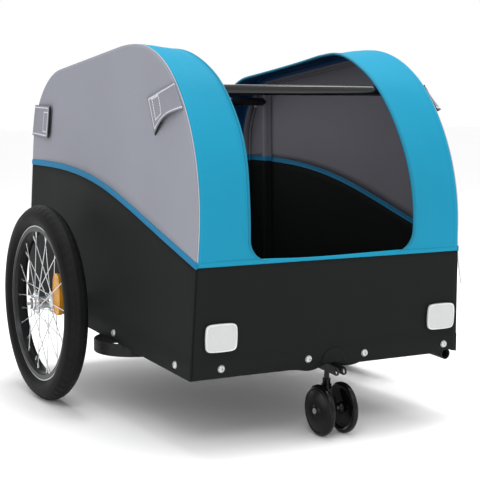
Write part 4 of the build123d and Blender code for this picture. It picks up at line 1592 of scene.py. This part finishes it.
# ---------------------------------------------------------------- caster
def make_caster_wheel(name, k):
    """Domed twin wheel of the caster with a stepped rim."""
    node = f"caster_wheel_{name}"
    low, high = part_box(node)
    radius = (high.z - low.z) / 2
    seat = Vector(JOINTS[f"caster_spin_{name}"]["pos_m"])
    half = 0.006
    rim = radius - 0.0030
    # From the bore along the dished inside, over the tread, to the domed outside.
    profile = [
        (-0.0100, 0.0041), (-0.0100, 0.0086), (-0.0094, 0.0092), (-0.0040, 0.0108),
        (-0.0030, 0.0120), (-0.0030, radius - 0.0110), (-0.0045, radius - 0.0092),
        (-0.0058, radius - 0.0060), (-half, radius - 0.0042), (-0.0052, rim + 0.0006),
        (-0.0038, radius - 0.0010), (-0.0015, radius - 0.0001), (0.0015, radius - 0.0001),
        (0.0038, radius - 0.0010), (0.0052, rim + 0.0002), (half, radius - 0.0046),
        (0.0064, radius - 0.0062), (0.0056, radius - 0.0074), (0.0056, radius - 0.0086),
        (0.0068, radius - 0.0098), (0.0082, radius * 0.62), (0.0092, radius * 0.42),
        (0.0094, 0.0135), (0.0090, 0.0122), (0.0092, 0.0110), (0.0100, 0.0098),
        (0.0100, 0.0041),
    ]
    bm = spun(profile, 96)
    placed(bm, Matrix.Translation(seat) @ Matrix.Scale(k, 4, (1, 0, 0)))
    finish_piece(
        f"caster_disc_{name}", bm, ["caster"], f"caster_roller_{name}", [node],
        leaned=False, crisp=32.0,
    )


# ---------------------------------------------------------------- operators
class TrailerOperator:
    """What the operators share."""

    bl_options = {"REGISTER", "UNDO"}

    def execute(self, context):
        """Makes the pieces, or raises."""
        self.build()
        return {"FINISHED"}


class BuildFinishes(TrailerOperator, bpy.types.Operator):
    """Makes the materials and gives the hard parts theirs"""

    bl_idname = "trailer.finishes"
    bl_label = "Finishes"

    def build(self):
        make_finishes()
        worn = {
            "frame_paint": ["side_rail", "hoop", "post", "tow_socket", "hitch_clevis",
                            "wheel_socket", "front_cross_tube", "axle_cross_tube",
                            "rear_cross_tube"],
            "screw": ["bar_bolts", "stem_clip", "caster_axle"],
            "spoke": ["spokes"],
            "hub": ["hub", "axle_pin"],
            "rim": ["rim"],
            "valve": ["valve"],
            "button": ["release_button"],
            "yoke": ["caster_yoke"],
        }
        for node, piece in frame["nodes"].items():
            for finish, stems in worn.items():
                if any(node.startswith(stem) for stem in stems):
                    piece.data.materials.clear()
                    piece.data.materials.append(FINISHES[finish])


class BuildSideWalls(TrailerOperator, bpy.types.Operator):
    """Makes the side walls, their piping and their seams"""

    bl_idname = "trailer.side_walls"
    bl_label = "Side walls"

    def build(self):
        for name, k in SIDES.items():
            make_upper_wall(name, k)
            make_lower_wall(name, k)
            make_piping(name, k)
            make_seam(name, k)
            make_frame_covers(name, k)


class BuildBands(TrailerOperator, bpy.types.Operator):
    """Makes the blue bands beside the opening"""

    bl_idname = "trailer.bands"
    bl_label = "Bands"

    def build(self):
        for name, k in SIDES.items():
            make_band(name, k)
            make_opening_tape(name, k)


class BuildEndPanels(TrailerOperator, bpy.types.Operator):
    """Makes the front and rear panels, their bindings, the hitch patch and the floor"""

    bl_idname = "trailer.end_panels"
    bl_label = "End panels and floor"

    def build(self):
        for front in (True, False):
            make_end_panel(front)
            make_sill_binding(front)
        make_hitch_patch()
        make_floor()


class BuildSewnTrim(TrailerOperator, bpy.types.Operator):
    """Makes the tabs, the label and the flag sleeve"""

    bl_idname = "trailer.sewn_trim"
    bl_label = "Tabs, label and sleeve"

    def build(self):
        for name, k in SIDES.items():
            make_tab("front", name, k)
            make_tab("rear", name, k)
        make_label()
        make_sleeve()


class BuildFittings(TrailerOperator, bpy.types.Operator):
    """Makes the reflectors, screws, eyelets, stow loop and crossbars"""

    bl_idname = "trailer.fittings"
    bl_label = "Fittings"

    def build(self):
        make_reflectors(True)
        make_reflectors(False)
        make_screws()
        make_stow_loop()
        make_eyelets()
        for end in ("front", "rear"):
            make_crossbar(end)


class BuildWheels(TrailerOperator, bpy.types.Operator):
    """Makes the tyres, nipples, hub rings and spoke reflectors"""

    bl_idname = "trailer.wheels"
    bl_label = "Wheels"

    def build(self):
        for name in SIDES:
            make_tyre(name)
            make_nipples(name)
            make_hub_rings(name)
            make_spoke_reflector(name)


class BuildCaster(TrailerOperator, bpy.types.Operator):
    """Makes the caster's wheels"""

    bl_idname = "trailer.caster"
    bl_label = "Caster"

    def build(self):
        for name, k in SIDES.items():
            make_caster_wheel(name, k)


class BuildStage(TrailerOperator, bpy.types.Operator):
    """Makes the floor, the lights and the camera"""

    bl_idname = "trailer.stage"
    bl_label = "Stage"

    def build(self):
        scene = bpy.context.scene
        bm = bmesh.new()
        bmesh.ops.create_grid(bm, x_segments=8, y_segments=8, size=30.0)
        mesh = bpy.data.meshes.new("studio_floor")
        bm.to_mesh(mesh)
        bm.free()
        mesh.materials.append(ground("studio_floor"))
        floor = bpy.data.objects.new("studio_floor", mesh)
        scene.collection.objects.link(floor)
        world = bpy.data.worlds.new("studio")
        world.use_nodes = True
        world.node_tree.nodes["Background"].inputs["Color"].default_value = (1, 1, 1, 1)
        world.node_tree.nodes["Background"].inputs["Strength"].default_value = 1.0
        scene.world = world
        scene.view_settings.view_transform = "Standard"
        lamps = (
            ("key", (-1.6, -2.6, 3.2), 1.4, 26.0),
            ("top", (0.3, 0.2, 3.6), 1.6, 72.0),
            ("fill", (3.0, -1.6, 1.8), 2.6, 6.0),
            ("rim", (0.8, 3.2, 2.6), 2.6, 8.0),
            ("glint", (1.9, 0.2, 3.2), 0.8, 16.0),
        )
        for name, spot, wide, power in lamps:
            lamp = bpy.data.lights.new(name, "AREA")
            lamp.size, lamp.energy = wide, power
            holder = bpy.data.objects.new(name, lamp)
            aim = Vector((0, 0, 0.35)) - Vector(spot)
            holder.location = spot
            holder.rotation_euler = aim.to_track_quat("-Z", "Y").to_euler()
            scene.collection.objects.link(holder)
        view = bpy.data.cameras.new("camera")
        view.lens, view.sensor_width = 93.58, 36.0
        view.clip_start, view.clip_end = 0.05, 100.0
        camera = bpy.data.objects.new("camera", view)
        camera.location = (-1.2332, -2.2783, 0.5956)
        camera.rotation_euler = (pi / 2 - 0.10488, 0.0, -0.50479)
        scene.collection.objects.link(camera)
        scene.camera = camera


BUILDERS = (
    BuildFinishes, BuildSideWalls, BuildBands, BuildEndPanels, BuildSewnTrim, BuildFittings,
    BuildWheels, BuildCaster, BuildStage,
)


class TrailerPanel(bpy.types.Panel):
    """Lists the trailer's builders"""

    bl_idname = "VIEW3D_PT_trailer"
    bl_label = "Trailer"
    bl_space_type = "VIEW_3D"
    bl_region_type = "UI"
    bl_category = "Trailer"

    def draw(self, context):
        """Draws one button for each builder."""
        for builder in BUILDERS:
            self.layout.operator(builder.bl_idname)


GROUPS = (TubSizes, WheelSizes, TrimSizes, TrailerColours, TrailerSettings)


def register():
    """Registers the add-on's classes."""
    for group in (*GROUPS, *BUILDERS, TrailerPanel):
        bpy.utils.register_class(group)
    bpy.types.Scene.trailer = PointerProperty(type=TrailerSettings)


def unregister():
    """Removes the add-on's classes."""
    del bpy.types.Scene.trailer
    for group in reversed((*GROUPS, *BUILDERS, TrailerPanel)):
        bpy.utils.unregister_class(group)


def main():
    """Builds everything."""
    register()
    for builder in BUILDERS:
        group, name = builder.bl_idname.split(".")
        getattr(getattr(bpy.ops, group), name)()


if __name__ == "__main__":
    main()
